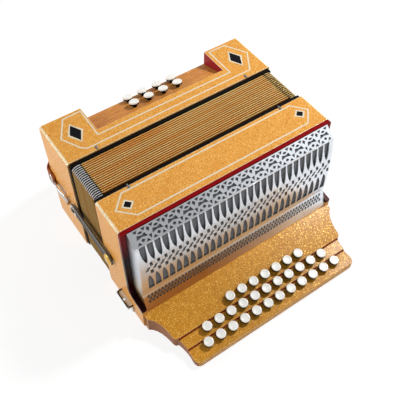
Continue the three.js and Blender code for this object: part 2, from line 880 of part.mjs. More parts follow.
// A leather strap with round ends, its brass cap at one end and a dark rivet at the other.
function bellowsStrap(side) {
  const face = halfLength + studRise + seam;
  const half = strapWidth / 2;
  const y0 = strapFree();
  const y1 = strapHingeY() - half;
  const shape = new THREE.Shape();
  shape.absarc(y0, strapHeight, half, Math.PI / 2, Math.PI * 1.5);
  shape.absarc(y1, strapHeight, half, -Math.PI / 2, Math.PI / 2);
  const band = prismX(shape, face, face + strapSheet, 6);
  const lap = seam;
  const cap = pegX(snapRadius, face + strapSheet - lap, face + strapSheet + snapRise, y0, strapHeight);
  const rivet = pegX(rivetRadius, halfLength + seam, face + strapSheet + rivetRise, y1, strapHeight);
  const whole = band.add(cap).add(rivet);
  return side < 0 ? whole.mirror([1, 0, 0]) : whole;
}

function strapStud(side) {
  const x0 = halfLength + seam / 3;
  const stud = pegX(studRadius, x0, halfLength + studRise, strapFree(), strapHeight);
  return side < 0 ? stud.mirror([1, 0, 0]) : stud;
}

function strapBracket(side) {
  const x0 = halfLength;
  const x1 = halfLength + bracketWidth;
  const y0 = -bracketStart;
  const y1 = bracketLength - bracketStart;
  const flange = block(x0, x0 + bracketSheet, y0, y1, bracketTop - bracketHeight, bracketTop);
  const shelf = block(x0, x1, y0, y1, bracketTop - bracketSheet, bracketTop);
  const bore = pegZ(bracketHole, (x0 + bracketSheet + x1) / 2, (y0 + y1) / 2, bracketTop - bracketHeight,
    bracketTop + overrun);
  const whole = flange.add(shelf).subtract(bore);
  return side < 0 ? whole.mirror([1, 0, 0]) : whole;
}

// Assembly

add("treble_case", trebleCase(), gold, 0.35);
add("treble_edge_band", trebleEdgeBand(), red, 0.25);
add("treble_grille", trebleGrille(), aluminium, 0.3, 1);
add("grille_cloth", grilleCloth(), gauze, 0.9);
add("fingerboard", fingerboard(), deepGold, 0.4);
add("treble_soundboard", trebleSoundboard(), wood, 0.8);
const trebleReedBase = soundboardSetback + soundboardSheet + seam;
const trebleReedStrip = blockStrip(trebleReedBase);
add("treble_reed_block", reedBlock(trebleReedBase, reedBlockDepth, trebleReedStrip), wood, 0.8);

const trebleSeats = trebleRows.flatMap((row) => {
  const seats = [];
  for (let i = 0; i < row.count; i += 1) {
    seats.push({ name: `treble_button_${row.name}_${i + 1}`, ...trebleSeat(row, i) });
  }
  return seats;
});
const bassSeats = [0, 1].flatMap((row) => {
  const seats = [];
  for (let i = 0; i < bassColumns; i += 1) {
    const name = `bass_button_${row === 0 ? "inner" : "outer"}_${i + 1}`;
    seats.push({ name, ...bassSeat(row, i) });
  }
  return seats;
});
for (const seat of [...trebleSeats, ...bassSeats]) {
  const button = add(seat.name, buttonGeometry(), pearl, 0.2);
  button.position.copy(seat.point);
  button.rotation.x = seat.tilt;
}

add("bellows_frame_treble", frame(bellowsStart + seam), black, 0.6);
add("bellows", bellows(), bellowsCloth, 0.8);
add("bellows_frame_bass", frame(bassStart - frameDepth - seam), black, 0.6);

add("bass_case", bassCase(), gold, 0.35);
add("bass_cover", bassCover(), gold, 0.4);
add("bass_button_panel", bassButtonPanel(), wood, 0.5);
const bassReedBase = bassStart + seam;
add("bass_reed_block", reedBlock(bassReedBase, bassReedDepth, fullBoard(bassReedBase)), wood, 0.8);

add("air_key", airKey(), nickel, 0.2, 1);
add("hand_strap", handStrap(), leather, 0.6);
for (const [name, side] of [["left", -1], ["right", 1]]) {
  add(`bellows_strap_${name}`, bellowsStrap(side), darkLeather, 0.7);
  add(`strap_stud_${name}`, strapStud(side), brass, 0.3, 1);
  add(`strap_bracket_${name}`, strapBracket(side), nickel, 0.4, 1);
}

// The origin goes to the middle of the surface the instrument lies on.
const bounds = new THREE.Box3().setFromObject(root);
const middle = bounds.getCenter(new THREE.Vector3());
place.position.set(-middle.x, -middle.y, -bounds.min.z);

export default root;
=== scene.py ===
import json
import math

import bmesh
import bpy
from mathutils import Matrix, Vector
from mathutils.geometry import delaunay_2d_cdt

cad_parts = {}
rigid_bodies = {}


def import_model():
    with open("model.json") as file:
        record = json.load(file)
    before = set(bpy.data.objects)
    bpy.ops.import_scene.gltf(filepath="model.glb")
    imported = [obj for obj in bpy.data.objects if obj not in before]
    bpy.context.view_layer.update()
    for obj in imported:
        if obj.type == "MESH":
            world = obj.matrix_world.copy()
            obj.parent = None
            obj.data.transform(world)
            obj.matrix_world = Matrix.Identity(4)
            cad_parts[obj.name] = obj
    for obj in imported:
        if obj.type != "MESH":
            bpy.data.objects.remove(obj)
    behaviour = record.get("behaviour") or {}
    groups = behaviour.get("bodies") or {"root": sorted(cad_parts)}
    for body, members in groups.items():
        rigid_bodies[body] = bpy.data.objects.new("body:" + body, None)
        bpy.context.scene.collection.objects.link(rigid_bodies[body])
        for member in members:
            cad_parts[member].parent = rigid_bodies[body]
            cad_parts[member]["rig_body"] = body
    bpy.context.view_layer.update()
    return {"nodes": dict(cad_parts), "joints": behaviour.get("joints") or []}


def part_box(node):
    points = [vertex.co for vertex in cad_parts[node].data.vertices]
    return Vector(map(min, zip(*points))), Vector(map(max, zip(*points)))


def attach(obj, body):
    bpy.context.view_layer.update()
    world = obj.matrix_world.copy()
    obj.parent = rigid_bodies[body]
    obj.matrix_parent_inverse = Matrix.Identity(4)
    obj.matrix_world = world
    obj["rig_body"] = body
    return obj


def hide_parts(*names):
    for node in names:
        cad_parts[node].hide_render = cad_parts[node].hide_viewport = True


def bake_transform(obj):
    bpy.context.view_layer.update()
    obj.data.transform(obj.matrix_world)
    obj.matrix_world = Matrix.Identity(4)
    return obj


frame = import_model()


# Camera
# The instrument is seen from above its front left corner, as in the photograph.
# Place, turn and lens were solved together from its corners and the rows of buttons.

camera_lens = 56.12
camera_place = (-0.29975, -0.42071, 0.74114)
camera_right = Vector((0.8217, -0.5699, 0.0015)).normalized()
camera_up = Vector((0.45355, 0.65549, 0.60384)).normalized()
camera_back = camera_right.cross(camera_up)
camera_turn = Matrix((camera_right, camera_up, camera_back)).transposed().to_4x4()
camera = bpy.data.objects.new("camera", bpy.data.cameras.new("camera"))
camera.data.lens = camera_lens
camera.matrix_world = Matrix.Translation(camera_place) @ camera_turn
bpy.context.scene.collection.objects.link(camera)
bpy.context.scene.camera = camera
bpy.context.scene.view_settings.view_transform = "Standard"


# Floor and light
# A white table, a lamp above the right end, a wider one at the left and a weak one in front,
# and a pale room that is darker overhead, so that bright metal shows both.

mm = 0.001


def put(tree, kind, inputs=(), **settings):
    """Adds a shader node, with its settings, and its inputs as values or as links."""
    made = tree.nodes.new("ShaderNode" + kind)
    for key, value in settings.items():
        setattr(made, key, value)
    for key, value in dict(inputs).items():
        if isinstance(value, bpy.types.NodeSocket):
            tree.links.new(value, made.inputs[key])
        else:
            made.inputs[key].default_value = value
    return made


def calculate(tree, operation, *values):
    """One Math node on up to three values."""
    return put(tree, "Math", enumerate(values), operation=operation).outputs[0]


def lay_over(tree, share, under, over):
    """The colour under with the colour over laid on it by a share."""
    return put(tree, "Mix", {0: share, 6: under, 7: over}, data_type="RGBA").outputs[2]


def seen_directly(tree):
    """1 where the eye, a reflection or glass looks straight at the surface."""
    path = put(tree, "LightPath")
    direct = calculate(tree, "MAXIMUM", path.outputs["Is Camera Ray"], path.outputs["Is Glossy Ray"])
    return calculate(tree, "MAXIMUM", direct, path.outputs["Is Transmission Ray"])


def srgb(red, green, blue):
    """A colour from its 0 to 255 values on a screen."""
    linear = [c / 3294.6 if c <= 10 else ((c / 255 + 0.055) / 1.055) ** 2.4 for c in (red, green, blue)]
    return (*linear, 1)


white = (1, 1, 1, 1)
floor_grey = (0.9, 0.9, 0.9, 1)
floor_half = 3
floor_glow = 1.1
floor_glow_share = 0.76
floor_corners = [(-floor_half, -floor_half, 0), (floor_half, -floor_half, 0), (floor_half, floor_half, 0),
                 (-floor_half, floor_half, 0)]
floor_mesh = bpy.data.meshes.new("floor")
floor_mesh.from_pydata(floor_corners, [], [(0, 1, 2, 3)])
floor = bpy.data.objects.new("floor", floor_mesh)
bpy.context.scene.collection.objects.link(floor)
paper = bpy.data.materials.new("white_table")
paper.use_nodes = True
table = paper.node_tree
table.nodes.clear()
table_share = calculate(table, "MULTIPLY", seen_directly(table), floor_glow_share)
table_matt = put(table, "BsdfDiffuse", {"Color": floor_grey})
table_glow = put(table, "Emission", {"Color": white, "Strength": floor_glow})
table_mix = put(table, "MixShader", {0: table_share, 1: table_matt.outputs[0], 2: table_glow.outputs[0]})
put(table, "OutputMaterial", {"Surface": table_mix.outputs[0]})
floor_mesh.materials.append(paper)

overhead_level = 0.4
diffuse_level = 0.52
pale_room = bpy.data.worlds.new("pale_room")
bpy.context.scene.world = pale_room
pale_room.use_nodes = True
room = pale_room.node_tree
room.nodes.clear()
room_way = put(room, "SeparateXYZ", {0: put(room, "TexCoord").outputs["Generated"]})
room_level = put(room, "MapRange", {"Value": room_way.outputs["Z"], "From Min": 0.25, "From Max": 0.8,
                 "To Min": 1.0, "To Max": overhead_level}, interpolation_type="SMOOTHSTEP")
room_path = put(room, "LightPath")
room_fill = put(room, "Mix", {0: room_path.outputs["Is Diffuse Ray"], 2: 1.0, 3: diffuse_level})
room_seen = calculate(room, "MULTIPLY", room_level.outputs[0], room_fill.outputs[0])
room_glow = put(room, "Mix", {0: room_path.outputs["Is Camera Ray"], 2: room_seen, 3: 1.0})
room_light = put(room, "Background", {"Color": white, "Strength": room_glow.outputs[0]})
put(room, "OutputWorld", {"Surface": room_light.outputs[0]})

light_target = Vector((0, 0, 0.08))
for lamp_name, lamp_size, lamp_energy, lamp_place in (("main_lamp", 0.16, 9.6, (0.72, -0.06, 1.05)),
                                                      ("side_lamp", 0.6, 7.0, (-1.1, 0.6, 0.5)),
                                                      ("front_lamp", 0.4, 0.3, (0.6, -0.75, 0.7))):
    lamp = bpy.data.objects.new(lamp_name, bpy.data.lights.new(lamp_name, "AREA"))
    lamp.data.shape = "SQUARE"
    lamp.data.size = lamp_size
    lamp.data.energy = lamp_energy
    lamp.location = lamp_place
    lamp.rotation_euler = (light_target - lamp.location).to_track_quat("-Z", "Y").to_euler()
    bpy.context.scene.collection.objects.link(lamp)


# Treble box
# A box of thin wood covered in celluloid with gold flakes in it, glued on and polished.
# Its two cheeks sweep out in front into feet, and its long edges are rounded and painted
# paler, a painted highlight.

case_edge = 0.45 * mm
half_length = 155
box_height = 172.9
sharp_angle = math.radians(30)
flat_angle = math.radians(0.4)
weld_reach = 0.001 * mm
seam_reach = 0.3
seam_rounding = 0.1
highlight_x = (0.15, 0.95)
highlight_z = (0.25, 0.97)
highlight_reach = 5


def as_piece(name, mesh, materials, body, nodes=(), smooth=True):
    """Makes an object of a bmesh, gives it its materials, and lets it ride on its body."""
    data = bpy.data.meshes.new(name)
    bmesh.ops.recalc_face_normals(mesh, faces=mesh.faces)
    mesh.to_mesh(data)
    mesh.free()
    for material in materials:
        data.materials.append(material)
    data.polygons.foreach_set("use_smooth", [smooth] * len(data.polygons))
    piece = bpy.data.objects.new(name, data)
    bpy.context.scene.collection.objects.link(piece)
    if isinstance(body, str):
        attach(piece, body)
    else:
        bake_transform(piece)
    if nodes:
        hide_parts(*nodes)
    return piece


def keep_flats(piece):
    """Lets each flat face keep its even shading beside a rounded edge."""
    shading = piece.modifiers.new("flat_flats", "WEIGHTED_NORMAL")
    shading.weight = 100
    shading.keep_sharp = True


def soften(piece, radius, steps=2, share=None):
    """Rounds a piece's sharp edges. Given each edge's share, the roundings take the last material."""
    rounding = piece.modifiers.new("rounded_edges", "BEVEL")
    rounding.width = radius
    rounding.segments = steps
    rounding.angle_limit = sharp_angle
    rounding.use_clamp_overlap = False
    if share:
        weights = piece.data.attributes.new("bevel_weight_edge", "FLOAT", "EDGE")
        shape = bmesh.new()
        shape.from_mesh(piece.data)
        for edge, weight in zip(shape.edges, weights.data):
            sharp = edge.calc_face_angle(0) > sharp_angle
            weight.value = share(*[vert.co / mm for vert in edge.verts]) if sharp else 0
        shape.free()
        rounding.limit_method = "WEIGHT"
        rounding.material = len(piece.data.materials) - 1
    keep_flats(piece)


def skin(node, materials, radius, pick=None, share=None):
    """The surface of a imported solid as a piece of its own, with its edges rounded. Faces to the front
    and back are cut into triangles, because one with a hole would be drawn across it."""
    mesh = bmesh.new()
    mesh.from_mesh(frame["nodes"][node].data)
    bmesh.ops.remove_doubles(mesh, verts=mesh.verts, dist=weld_reach)
    bmesh.ops.dissolve_limit(mesh, angle_limit=flat_angle, verts=mesh.verts, edges=mesh.edges)
    bmesh.ops.triangulate(mesh, faces=[face for face in mesh.faces if abs(face.normal.y) > 0.99])
    for face in mesh.faces:
        face.material_index = pick(face.calc_center_median() / mm, face.normal) if pick else 0
    piece = as_piece(node + "_shown", mesh, materials, frame["nodes"][node]["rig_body"], [node])
    soften(piece, radius, 3 if share else 2, share)
    return piece


def new_group(name, inputs, outputs):
    """A node group with its sockets, and the nodes that bring its inputs in and take its outputs out."""
    tree = bpy.data.node_groups.new(name, "ShaderNodeTree")
    kinds = {"colour": "NodeSocketColor", "value": "NodeSocketFloat", "vector": "NodeSocketVector"}
    for label, kind in inputs:
        tree.interface.new_socket(label, in_out="INPUT", socket_type=kinds[kind])
    for label, kind in outputs:
        tree.interface.new_socket(label, in_out="OUTPUT", socket_type=kinds[kind])
    given = tree.nodes.new("NodeGroupInput").outputs
    taken = tree.nodes.new("NodeGroupOutput").inputs
    return tree, given, taken


def use_group(tree, group, values):
    """Places a node group in a material with its own values."""
    return put(tree, "Group", values, node_tree=group).outputs


def new_finish(name, **sockets):
    """A material with its shader, whose plain values are given by socket."""
    finish = bpy.data.materials.new(name)
    finish.use_nodes = True
    tree = finish.node_tree
    shader = tree.nodes["Principled BSDF"]
    for key, value in sockets.items():
        shader.inputs[key.replace("_", " ")].default_value = value
    return finish, tree, shader


def link(tree, inputs, **outputs):
    """Links outputs to the inputs that they are given by name."""
    for key, output in outputs.items():
        tree.links.new(output, inputs[key.replace("_", " ")])


def feed(tree, shader, height, depth, strength, **sockets):
    """Links outputs to the shader's sockets, and a height through a Bump node."""
    link(tree, shader.inputs, **sockets)
    bump = put(tree, "Bump", {"Height": height, "Distance": depth, "Strength": strength})
    link(tree, shader.inputs, Normal=bump.outputs[0])


def own_place(tree):
    """Where a point lies, in metres, in the frame of the whole instrument."""
    return put(tree, "TexCoord").outputs["Object"]


def noise(tree, place, scale, detail, roughness=0.5, distortion=0.0):
    """Cloudy noise at a place, so many clouds to the metre."""
    return put(tree, "TexNoise", {"Vector": place, "Scale": scale, "Detail": detail, "Roughness": roughness,
               "Distortion": distortion}).outputs["Fac"]


def ramp(tree, value, low, high, start=0.0, end=1.0):
    """Goes from start to end while a value goes from low to high."""
    return put(tree, "MapRange", {"Value": value, "From Min": low, "From Max": high, "To Min": start,
               "To Max": end}).outputs[0]


def times(tree, first, second):
    """One value times another."""
    return calculate(tree, "MULTIPLY", first, second)


def box_share(*seams):
    """How far each edge of a box is rounded: hardly where it meets another piece."""
    def share(a, b):
        at_seam = any(abs(a.y - seam) < seam_reach and abs(b.y - seam) < seam_reach for seam in seams)
        return seam_rounding if at_seam else 1.0
    return share


def highlight_edges(slot, other=None):
    """A choice of material by face: the pale one, a painted highlight, on the rounded upper edges of a box's
    ends.
    """
    def pick(centre, normal):
        slanted = highlight_x[0] < abs(normal.x) < highlight_x[1] and highlight_z[0] < normal.z < highlight_z[1]
        if slanted and abs(centre.x) > half_length - highlight_reach:
            return slot
        return other(centre, normal) if other else 0
    return pick


def glitter_group():
    """Celluloid with flakes: clouds of colour, light and dark flakes, and how shiny each one is."""
    tree, given, taken = new_group("celluloid_glitter",
        [("Base", "colour"), ("Deep", "colour"), ("Light Flake", "colour"), ("Dark Flake", "colour"),
         ("Flakes per Metre", "value"), ("Light Share", "value"), ("Dark Share", "value")],
        [("Color", "colour"), ("Flake Mask", "value"), ("Roughness", "value"), ("Height", "value")])
    place = own_place(tree)
    ground = lay_over(tree, noise(tree, place, 55, 5, 0.65), given["Deep"], given["Base"])
    flakes = put(tree, "TexVoronoi", {"Vector": place, "Scale": given["Flakes per Metre"]}).outputs
    chance = put(tree, "SeparateColor", {0: flakes["Color"]}).outputs
    shape = ramp(tree, flakes["Distance"], 0.35, 0.6, 1.0, 0.0)
    light_from = calculate(tree, "SUBTRACT", 1.0, given["Light Share"])
    light = times(tree, calculate(tree, "GREATER_THAN", chance[0], light_from), shape)
    dark = times(tree, calculate(tree, "LESS_THAN", chance[1], given["Dark Share"]), shape)
    toned = lay_over(tree, dark, ground, given["Dark Flake"])
    link(tree, taken, Color=lay_over(tree, light, toned, given["Light Flake"]), Flake_Mask=light,
         Roughness=ramp(tree, chance[2], 0.0, 1.0, 0.28, 0.5), Height=chance[2])
    return tree


def scuff_group():
    """Where a surface is rubbed by handling: small blotches, thinned out by larger ones."""
    tree, given, taken = new_group("scuffs", [("Scuffs per Metre", "value"), ("Share", "value")],
                                   [("Mask", "value")])
    place = own_place(tree)
    small = noise(tree, place, given["Scuffs per Metre"], 5, 0.7)
    level = calculate(tree, "SUBTRACT", 0.95, times(tree, given["Share"], noise(tree, place, 12, 2)))
    link(tree, taken, Mask=ramp(tree, small, level, calculate(tree, "ADD", level, 0.12)))
    return tree


glitter = glitter_group()
scuffs = scuff_group()


def scuffed(tree, colour, over, per_metre, share, strength):
    """A colour with another over it where the surface is scuffed."""
    mask = use_group(tree, scuffs, {"Scuffs per Metre": per_metre, "Share": share})["Mask"]
    return lay_over(tree, times(tree, mask, strength), colour, over)


def celluloid(name, base, deep, light, dark, per_metre, light_share, dark_share, coat=0.08):
    """A polished celluloid finish with flakes in it, a little scuffed."""
    finish, tree, shader = new_finish(name, Coat_Weight=coat, Coat_Roughness=0.15, Specular_IOR_Level=0.15)
    flakes = use_group(tree, glitter, {"Base": base, "Deep": deep, "Light Flake": light, "Dark Flake": dark,
                       "Flakes per Metre": per_metre, "Light Share": light_share, "Dark Share": dark_share})
    feed(tree, shader, flakes["Height"], 0.05 * mm, 0.25, Roughness=flakes["Roughness"],
         Base_Color=scuffed(tree, flakes["Color"], light, 90, 0.5, 0.3),
         Metallic=times(tree, flakes["Flake Mask"], 0.2))
    return finish


gold_celluloid = celluloid("gold_celluloid", srgb(240, 174, 82), srgb(222, 148, 56), srgb(255, 212, 130),
                           srgb(182, 112, 38), 900, 0.2, 0.2)
# A pale copy of the celluloid for rounded edges: a painted highlight where they catch the light.
rubbed_celluloid = celluloid("rubbed_celluloid", srgb(255, 238, 200), srgb(248, 220, 166),
                             srgb(255, 250, 232), srgb(214, 158, 86), 800, 0.2, 0.2, 0.4)
band_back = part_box("treble_edge_band")[1].y / mm
treble_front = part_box("treble_case")[0].y / mm
skin("treble_case", [gold_celluloid, rubbed_celluloid], case_edge, highlight_edges(1),
     box_share(treble_front, band_back))


# Red edging
# A strip of wood along the front edge of the box and down its cheeks, lacquered dark red.
# The lacquer is painted darker towards the feet, a painted shade, and less so towards the right end.

shade_rise_right = 0.6


def lacquer(name, bright, dark, low, high):
    """Glossy lacquer with a painted shade: darker from one height down to another, less so to the right."""
    finish, tree, shader = new_finish(name, Coat_Roughness=0.12, Specular_IOR_Level=0.05)
    place = own_place(tree)
    way = put(tree, "SeparateXYZ", {0: place}).outputs
    right = calculate(tree, "MAXIMUM", way["X"], 0.0)
    rise = calculate(tree, "MULTIPLY_ADD", right, shade_rise_right, way["Z"])
    streak = noise(tree, place, 140, 6)
    uneven = calculate(tree, "MULTIPLY_ADD", streak, 0.5, -0.25)
    mixed = calculate(tree, "ADD", ramp(tree, rise, low * mm, high * mm), uneven)
    colour = scuffed(tree, lay_over(tree, mixed, dark, bright), srgb(176, 70, 56), 160, 0.5, 0.4)
    rough = calculate(tree, "MULTIPLY_ADD", streak, 0.2, 0.22)
    feed(tree, shader, streak, 0.03 * mm, 0.3, Base_Color=colour, Roughness=rough)
    return finish


red_lacquer = lacquer("red_lacquer", srgb(138, 12, 17), srgb(24, 3, 5), 120, 176)
skin("treble_edge_band", [red_lacquer], 0.3 * mm)


# Grille
# One sheet of bright aluminium, pressed with its pattern of holes, folded along two lines,
# and turned back at both ends, where small round-headed screws hold it to the cheeks. Bands of
# painted reflection lie low and high on the sheet, the rims of its holes are painted dark, a
# painted shade, and a white rod along the upper fold is a painted highlight.

# Where the grille's painted reflections are full and where they are gone, from left to right.
reflection_full = -60
reflection_gone = 100


def polish_group():
    """Polished sheet: fine rubbing marks along one way, dull spots, and how much each shows."""
    tree, given, taken = new_group("metal_polish",
        [("Marks per Metre", "vector"), ("Bright", "value"), ("Dull", "value")],
        [("Roughness", "value"), ("Height", "value"), ("Tarnish", "value")])
    place = own_place(tree)
    along = put(tree, "VectorMath", {0: place, 1: given["Marks per Metre"]}, operation="MULTIPLY").outputs[0]
    marks = noise(tree, along, 1, 4, 0.7)
    spot = ramp(tree, noise(tree, place, 70, 6, 0.7), 0.45, 0.75)
    mixed = calculate(tree, "MULTIPLY_ADD", marks, 0.4, times(tree, spot, 0.6))
    link(tree, taken, Roughness=ramp(tree, mixed, 0.0, 1.0, given["Bright"], given["Dull"]), Height=marks,
         Tarnish=spot)
    return tree


polish = polish_group()


def bright_metal(name, colour, tarnished, marks, bright, dull, metallic=1.0, painted_reflections=()):
    """A polished or plated metal with rubbing marks, dull spots, and bands of painted reflection fading
    right.
    """
    finish, tree, shader = new_finish(name, Metallic=metallic)
    marked = use_group(tree, polish, {"Marks per Metre": marks, "Bright": bright, "Dull": dull})
    tone = lay_over(tree, times(tree, marked["Tarnish"], 0.5), colour, tarnished)
    way = put(tree, "SeparateXYZ", {0: own_place(tree)}).outputs if painted_reflections else None
    for most, least, strength, reflected_tone in painted_reflections:
        near = ramp(tree, way["Z"], least * mm, most * mm, 0.0, strength)
        left = ramp(tree, way["X"], reflection_full * mm, reflection_gone * mm, 1.0, 0.0)
        tone = lay_over(tree, times(tree, near, left), tone, reflected_tone)
    feed(tree, shader, marked["Height"], 0.02 * mm, 0.5, Base_Color=tone, Roughness=marked["Roughness"])
    return finish


grille_marks = (60, 900, 900)
even_marks = (300, 300, 300)
# Bands of painted reflection by height, fading to the right: the board's gold low on the main panel and the
# foot, and a darker grey on the upper panel.
grille_reflections = [(60, 104, 0.5, srgb(240, 206, 120)), (52, 60, 0.9, srgb(180, 118, 34)),
                 (160, 152, 0.5, srgb(120, 117, 114))]
aluminium = bright_metal("bright_aluminium", srgb(238, 243, 250), srgb(202, 206, 212), grille_marks,
                         0.28, 0.44, 0.78, grille_reflections)
# The sloped rims of the holes are near black: a painted shade at the holes' edges, widest round the dashes.
rim_shade = bright_metal("grimy_rims", srgb(64, 62, 60), srgb(34, 32, 30), even_marks, 0.35, 0.55)
rim_slope = 0.16
dash_slope = 0.78
dash_area = 16
main_tilt = 0.1
sheet_bow = 3.0
sheet_parts = 6
sheet_crease = math.radians(9)
fold_radius = 0.45
fold_sunk = 0.25
fold_reach = 0.3
main_low = 58.9
main_high = 158.5
panel_facings = [(0, -0.66, 0.7513), (0, -0.99938, 0.03512), (0, -0.96023, 0.27922)]


def border_loops(faces):
    """The closed rows of vertices round a set of faces."""
    follow = {}
    for face in faces:
        for loop in face.loops:
            if sum(other in faces for other in loop.edge.link_faces) == 1:
                follow[loop.vert] = loop.link_loop_next.vert
    loops = []
    while follow:
        here = next(iter(follow))
        row = []
        while here in follow:
            row.append(here)
            here = follow.pop(here)
        loops.append(row)
    return loops


def moved_line(points, distance):
    """A closed line moved to its left, with its corners mitred, but not far."""
    moved = []
    for i, here in enumerate(points):
        before = (Vector(here) - Vector(points[i - 1])).normalized()
        after = (Vector(points[(i + 1) % len(points)]) - Vector(here)).normalized()
        left = Vector((-before.y - after.y, before.x + after.x)).normalized()
        stretch = max(left.dot(Vector((-before.y, before.x))), 0.5)
        moved.append(Vector(here) + left * distance / stretch)
    return moved


def holds(line, point):
    """Whether a closed line goes round a point."""
    crossings = 0
    for a, b in zip(line, line[1:] + line[:1]):
        if (a.y > point.y) != (b.y > point.y):
            crossings += point.x < a.x + (b.x - a.x) * (point.y - a.y) / (b.y - a.y)
    return crossings % 2 == 1


def line_area(line):
    """The area inside a closed line."""
    return abs(sum(a.x * b.y - b.x * a.y for a, b in zip(line, line[1:] + line[:1]))) / 2


def split_edge(mesh, start, end, parts):
    """Splits an edge into equal parts, and returns its new vertices in order."""
    added = []
    for left in range(parts, 1, -1):
        edge = mesh.edges.get((start, end))
        start = bmesh.utils.edge_split(edge, start, 1 / left)[1]
        added.append(start)
    return added


def slope_rims(mesh, normal, rows):
    """Refaces one panel of the sheet so that the rim of every hole slopes in, as a punch leaves it."""
    down = normal.cross(Vector((1, 0, 0)))
    level = rows[0][0].co.dot(normal)
    lines = [[Vector((vert.co.x, vert.co.dot(down))) / mm for vert in row] for row in rows]
    outer = max(range(len(rows)), key=lambda number: line_area(lines[number]))
    corners, edges, owners = [], [], []
    for number, row in enumerate(rows):
        ring = row
        if number != outer:
            dash = 0 < normal.z < main_tilt and line_area(lines[number]) < dash_area
            slope = dash_slope if dash else rim_slope
            lines[number] = moved_line(lines[number], slope)
            ring = [mesh.verts.new(Vector((x * mm, 0, 0)) + down * y * mm + normal * level)
                    for x, y in lines[number]]
            for i, vert in enumerate(row):
                vert.co -= normal * slope * mm
                j = (i + 1) % len(row)
                rim = mesh.faces.new((row[i], row[j], ring[j], ring[i]))
                rim.tag = True
                # The rim takes the near-black material, a painted shade.
                rim.material_index = 1
        edges += [(len(corners) + i, len(corners) + (i + 1) % len(ring)) for i in range(len(ring))]
        corners += ring
        owners += [number] * len(ring)
    points = [point for line in lines for point in line]
    found = delaunay_2d_cdt(points, edges, [], 0, 1e-6, True)
    for triangle in found[2]:
        own = [found[3][i][0] for i in triangle]
        if len({owners[i] for i in own}) == 1:
            centre = (points[own[0]] + points[own[1]] + points[own[2]]) / 3
            if holds(lines[owners[own[0]]], centre) != (owners[own[0]] == outer):
                continue
        mesh.faces.new([corners[i] for i in own])


sheet = bmesh.new()
sheet.from_mesh(frame["nodes"]["treble_grille"].data)
bmesh.ops.remove_doubles(sheet, verts=sheet.verts, dist=weld_reach)
panels = []  # each panel's faces stay in the mesh's order, so that every run gives the same sheet
for panel_facing in panel_facings:
    facing = Vector(panel_facing).normalized()
    faces = dict.fromkeys(face for face in sheet.faces if face.normal.dot(facing) > 0.9995)
    panels.append((facing, faces, border_loops(faces)))
borders = {frozenset((row[i - 1], row[i])) for _, _, rows in panels for row in rows for i in range(len(row))}
bmesh.ops.delete(sheet, geom=[face for _, faces, _ in panels for face in faces], context="FACES_ONLY")
for edge in list(sheet.edges):
    if not edge.link_faces and frozenset(edge.verts) not in borders:
        sheet.edges.remove(edge)
splits = {}
for facing, _, rows in panels:
    for row in rows:
        full = []
        for here, there in zip(row, row[1:] + row[:1]):
            full.append(here)
            if (here, there) not in splits:
                parts = int((there.co - here.co).length / mm / sheet_parts) + 1
                added = split_edge(sheet, here, there, parts)
                splits[here, there] = added
                splits[there, here] = added[::-1]
            full += splits[here, there]
        row[:] = full
    slope_rims(sheet, facing, rows)
for vert in sheet.verts:
    share = min(max((vert.co.z / mm - main_low) / (main_high - main_low), 0), 1)
    vert.co.y -= sheet_bow * 4 * share * (1 - share) * mm
sheet.normal_update()
for edge in sheet.edges:
    slopes = any(face.tag for face in edge.link_faces)
    edge.smooth = len(edge.link_faces) == 2 and (slopes or edge.calc_face_angle() < sheet_crease)
grille = as_piece("treble_grille_shown", sheet, [aluminium, rim_shade], "treble_end",
                  ["treble_grille"])
keep_flats(grille)
fold_corners = [vert.co / mm for vert in grille.data.vertices if abs(vert.co.z / mm - main_high) < fold_reach]
fold_front = min(corner.y for corner in fold_corners)
fold_ends = [corner.x for corner in fold_corners if corner.y < fold_front + fold_reach]
# A thin white rod along the upper fold: a painted highlight, where the fold catches the light.
rubbed_aluminium = bright_metal("rubbed_aluminium", srgb(255, 255, 255), srgb(236, 236, 238), grille_marks,
                                0.3, 0.4, 0.2)
fold_line = bmesh.new()
fold_centre = Vector((0, fold_front + fold_sunk, main_high - fold_sunk / 2)) * mm
fold_turn = Matrix.Rotation(math.radians(90), 4, "Y")
bmesh.ops.create_cone(fold_line, cap_ends=True, segments=12, radius1=fold_radius * mm,
                      radius2=fold_radius * mm, depth=(max(fold_ends) - min(fold_ends)) * mm,
                      matrix=Matrix.Translation(fold_centre) @ fold_turn)
as_piece("grille_fold_rubbed", fold_line, [rubbed_aluminium], "treble_end")


# Gauze
# A dark grey woven cloth stretched behind the grille, which lets the sound out and keeps dust
# from the reeds. It is glued to the back of the sheet and slackens a little between the holes.

gauze_threads = 6600
gauze_finish, gauze_tree, gauze_shader = new_finish("grey_gauze", Roughness=0.75, Sheen_Weight=0.3)
gauze_place = own_place(gauze_tree)
gauze_way = put(gauze_tree, "SeparateXYZ", {0: gauze_place}).outputs
gauze_warp = calculate(gauze_tree, "SINE", times(gauze_tree, gauze_way["X"], gauze_threads))
gauze_weft = calculate(gauze_tree, "SINE", times(gauze_tree, gauze_way["Z"], gauze_threads))
gauze_streaks = put(gauze_tree, "Mapping", {"Vector": gauze_place, "Scale": (260, 40, 40)}).outputs[0]
gauze_share = calculate(gauze_tree, "MULTIPLY_ADD", times(gauze_tree, gauze_warp, gauze_weft), 0.22,
                        noise(gauze_tree, gauze_streaks, 1, 5))
gauze_colour = lay_over(gauze_tree, gauze_share, srgb(54, 56, 60), srgb(150, 152, 157))
# Darker above 150 mm, behind the upper panel of the grille: a painted shade on the cloth.
gauze_top_shade = ramp(gauze_tree, gauze_way["Z"], 0.15, 0.16, 0.0, 0.6)
gauze_colour = lay_over(gauze_tree, gauze_top_shade, gauze_colour, srgb(26, 26, 30))
feed(gauze_tree, gauze_shader, gauze_share, 0.15 * mm, 0.6, Base_Color=gauze_colour)
gauze = skin("grille_cloth", [gauze_finish], 0.1 * mm)
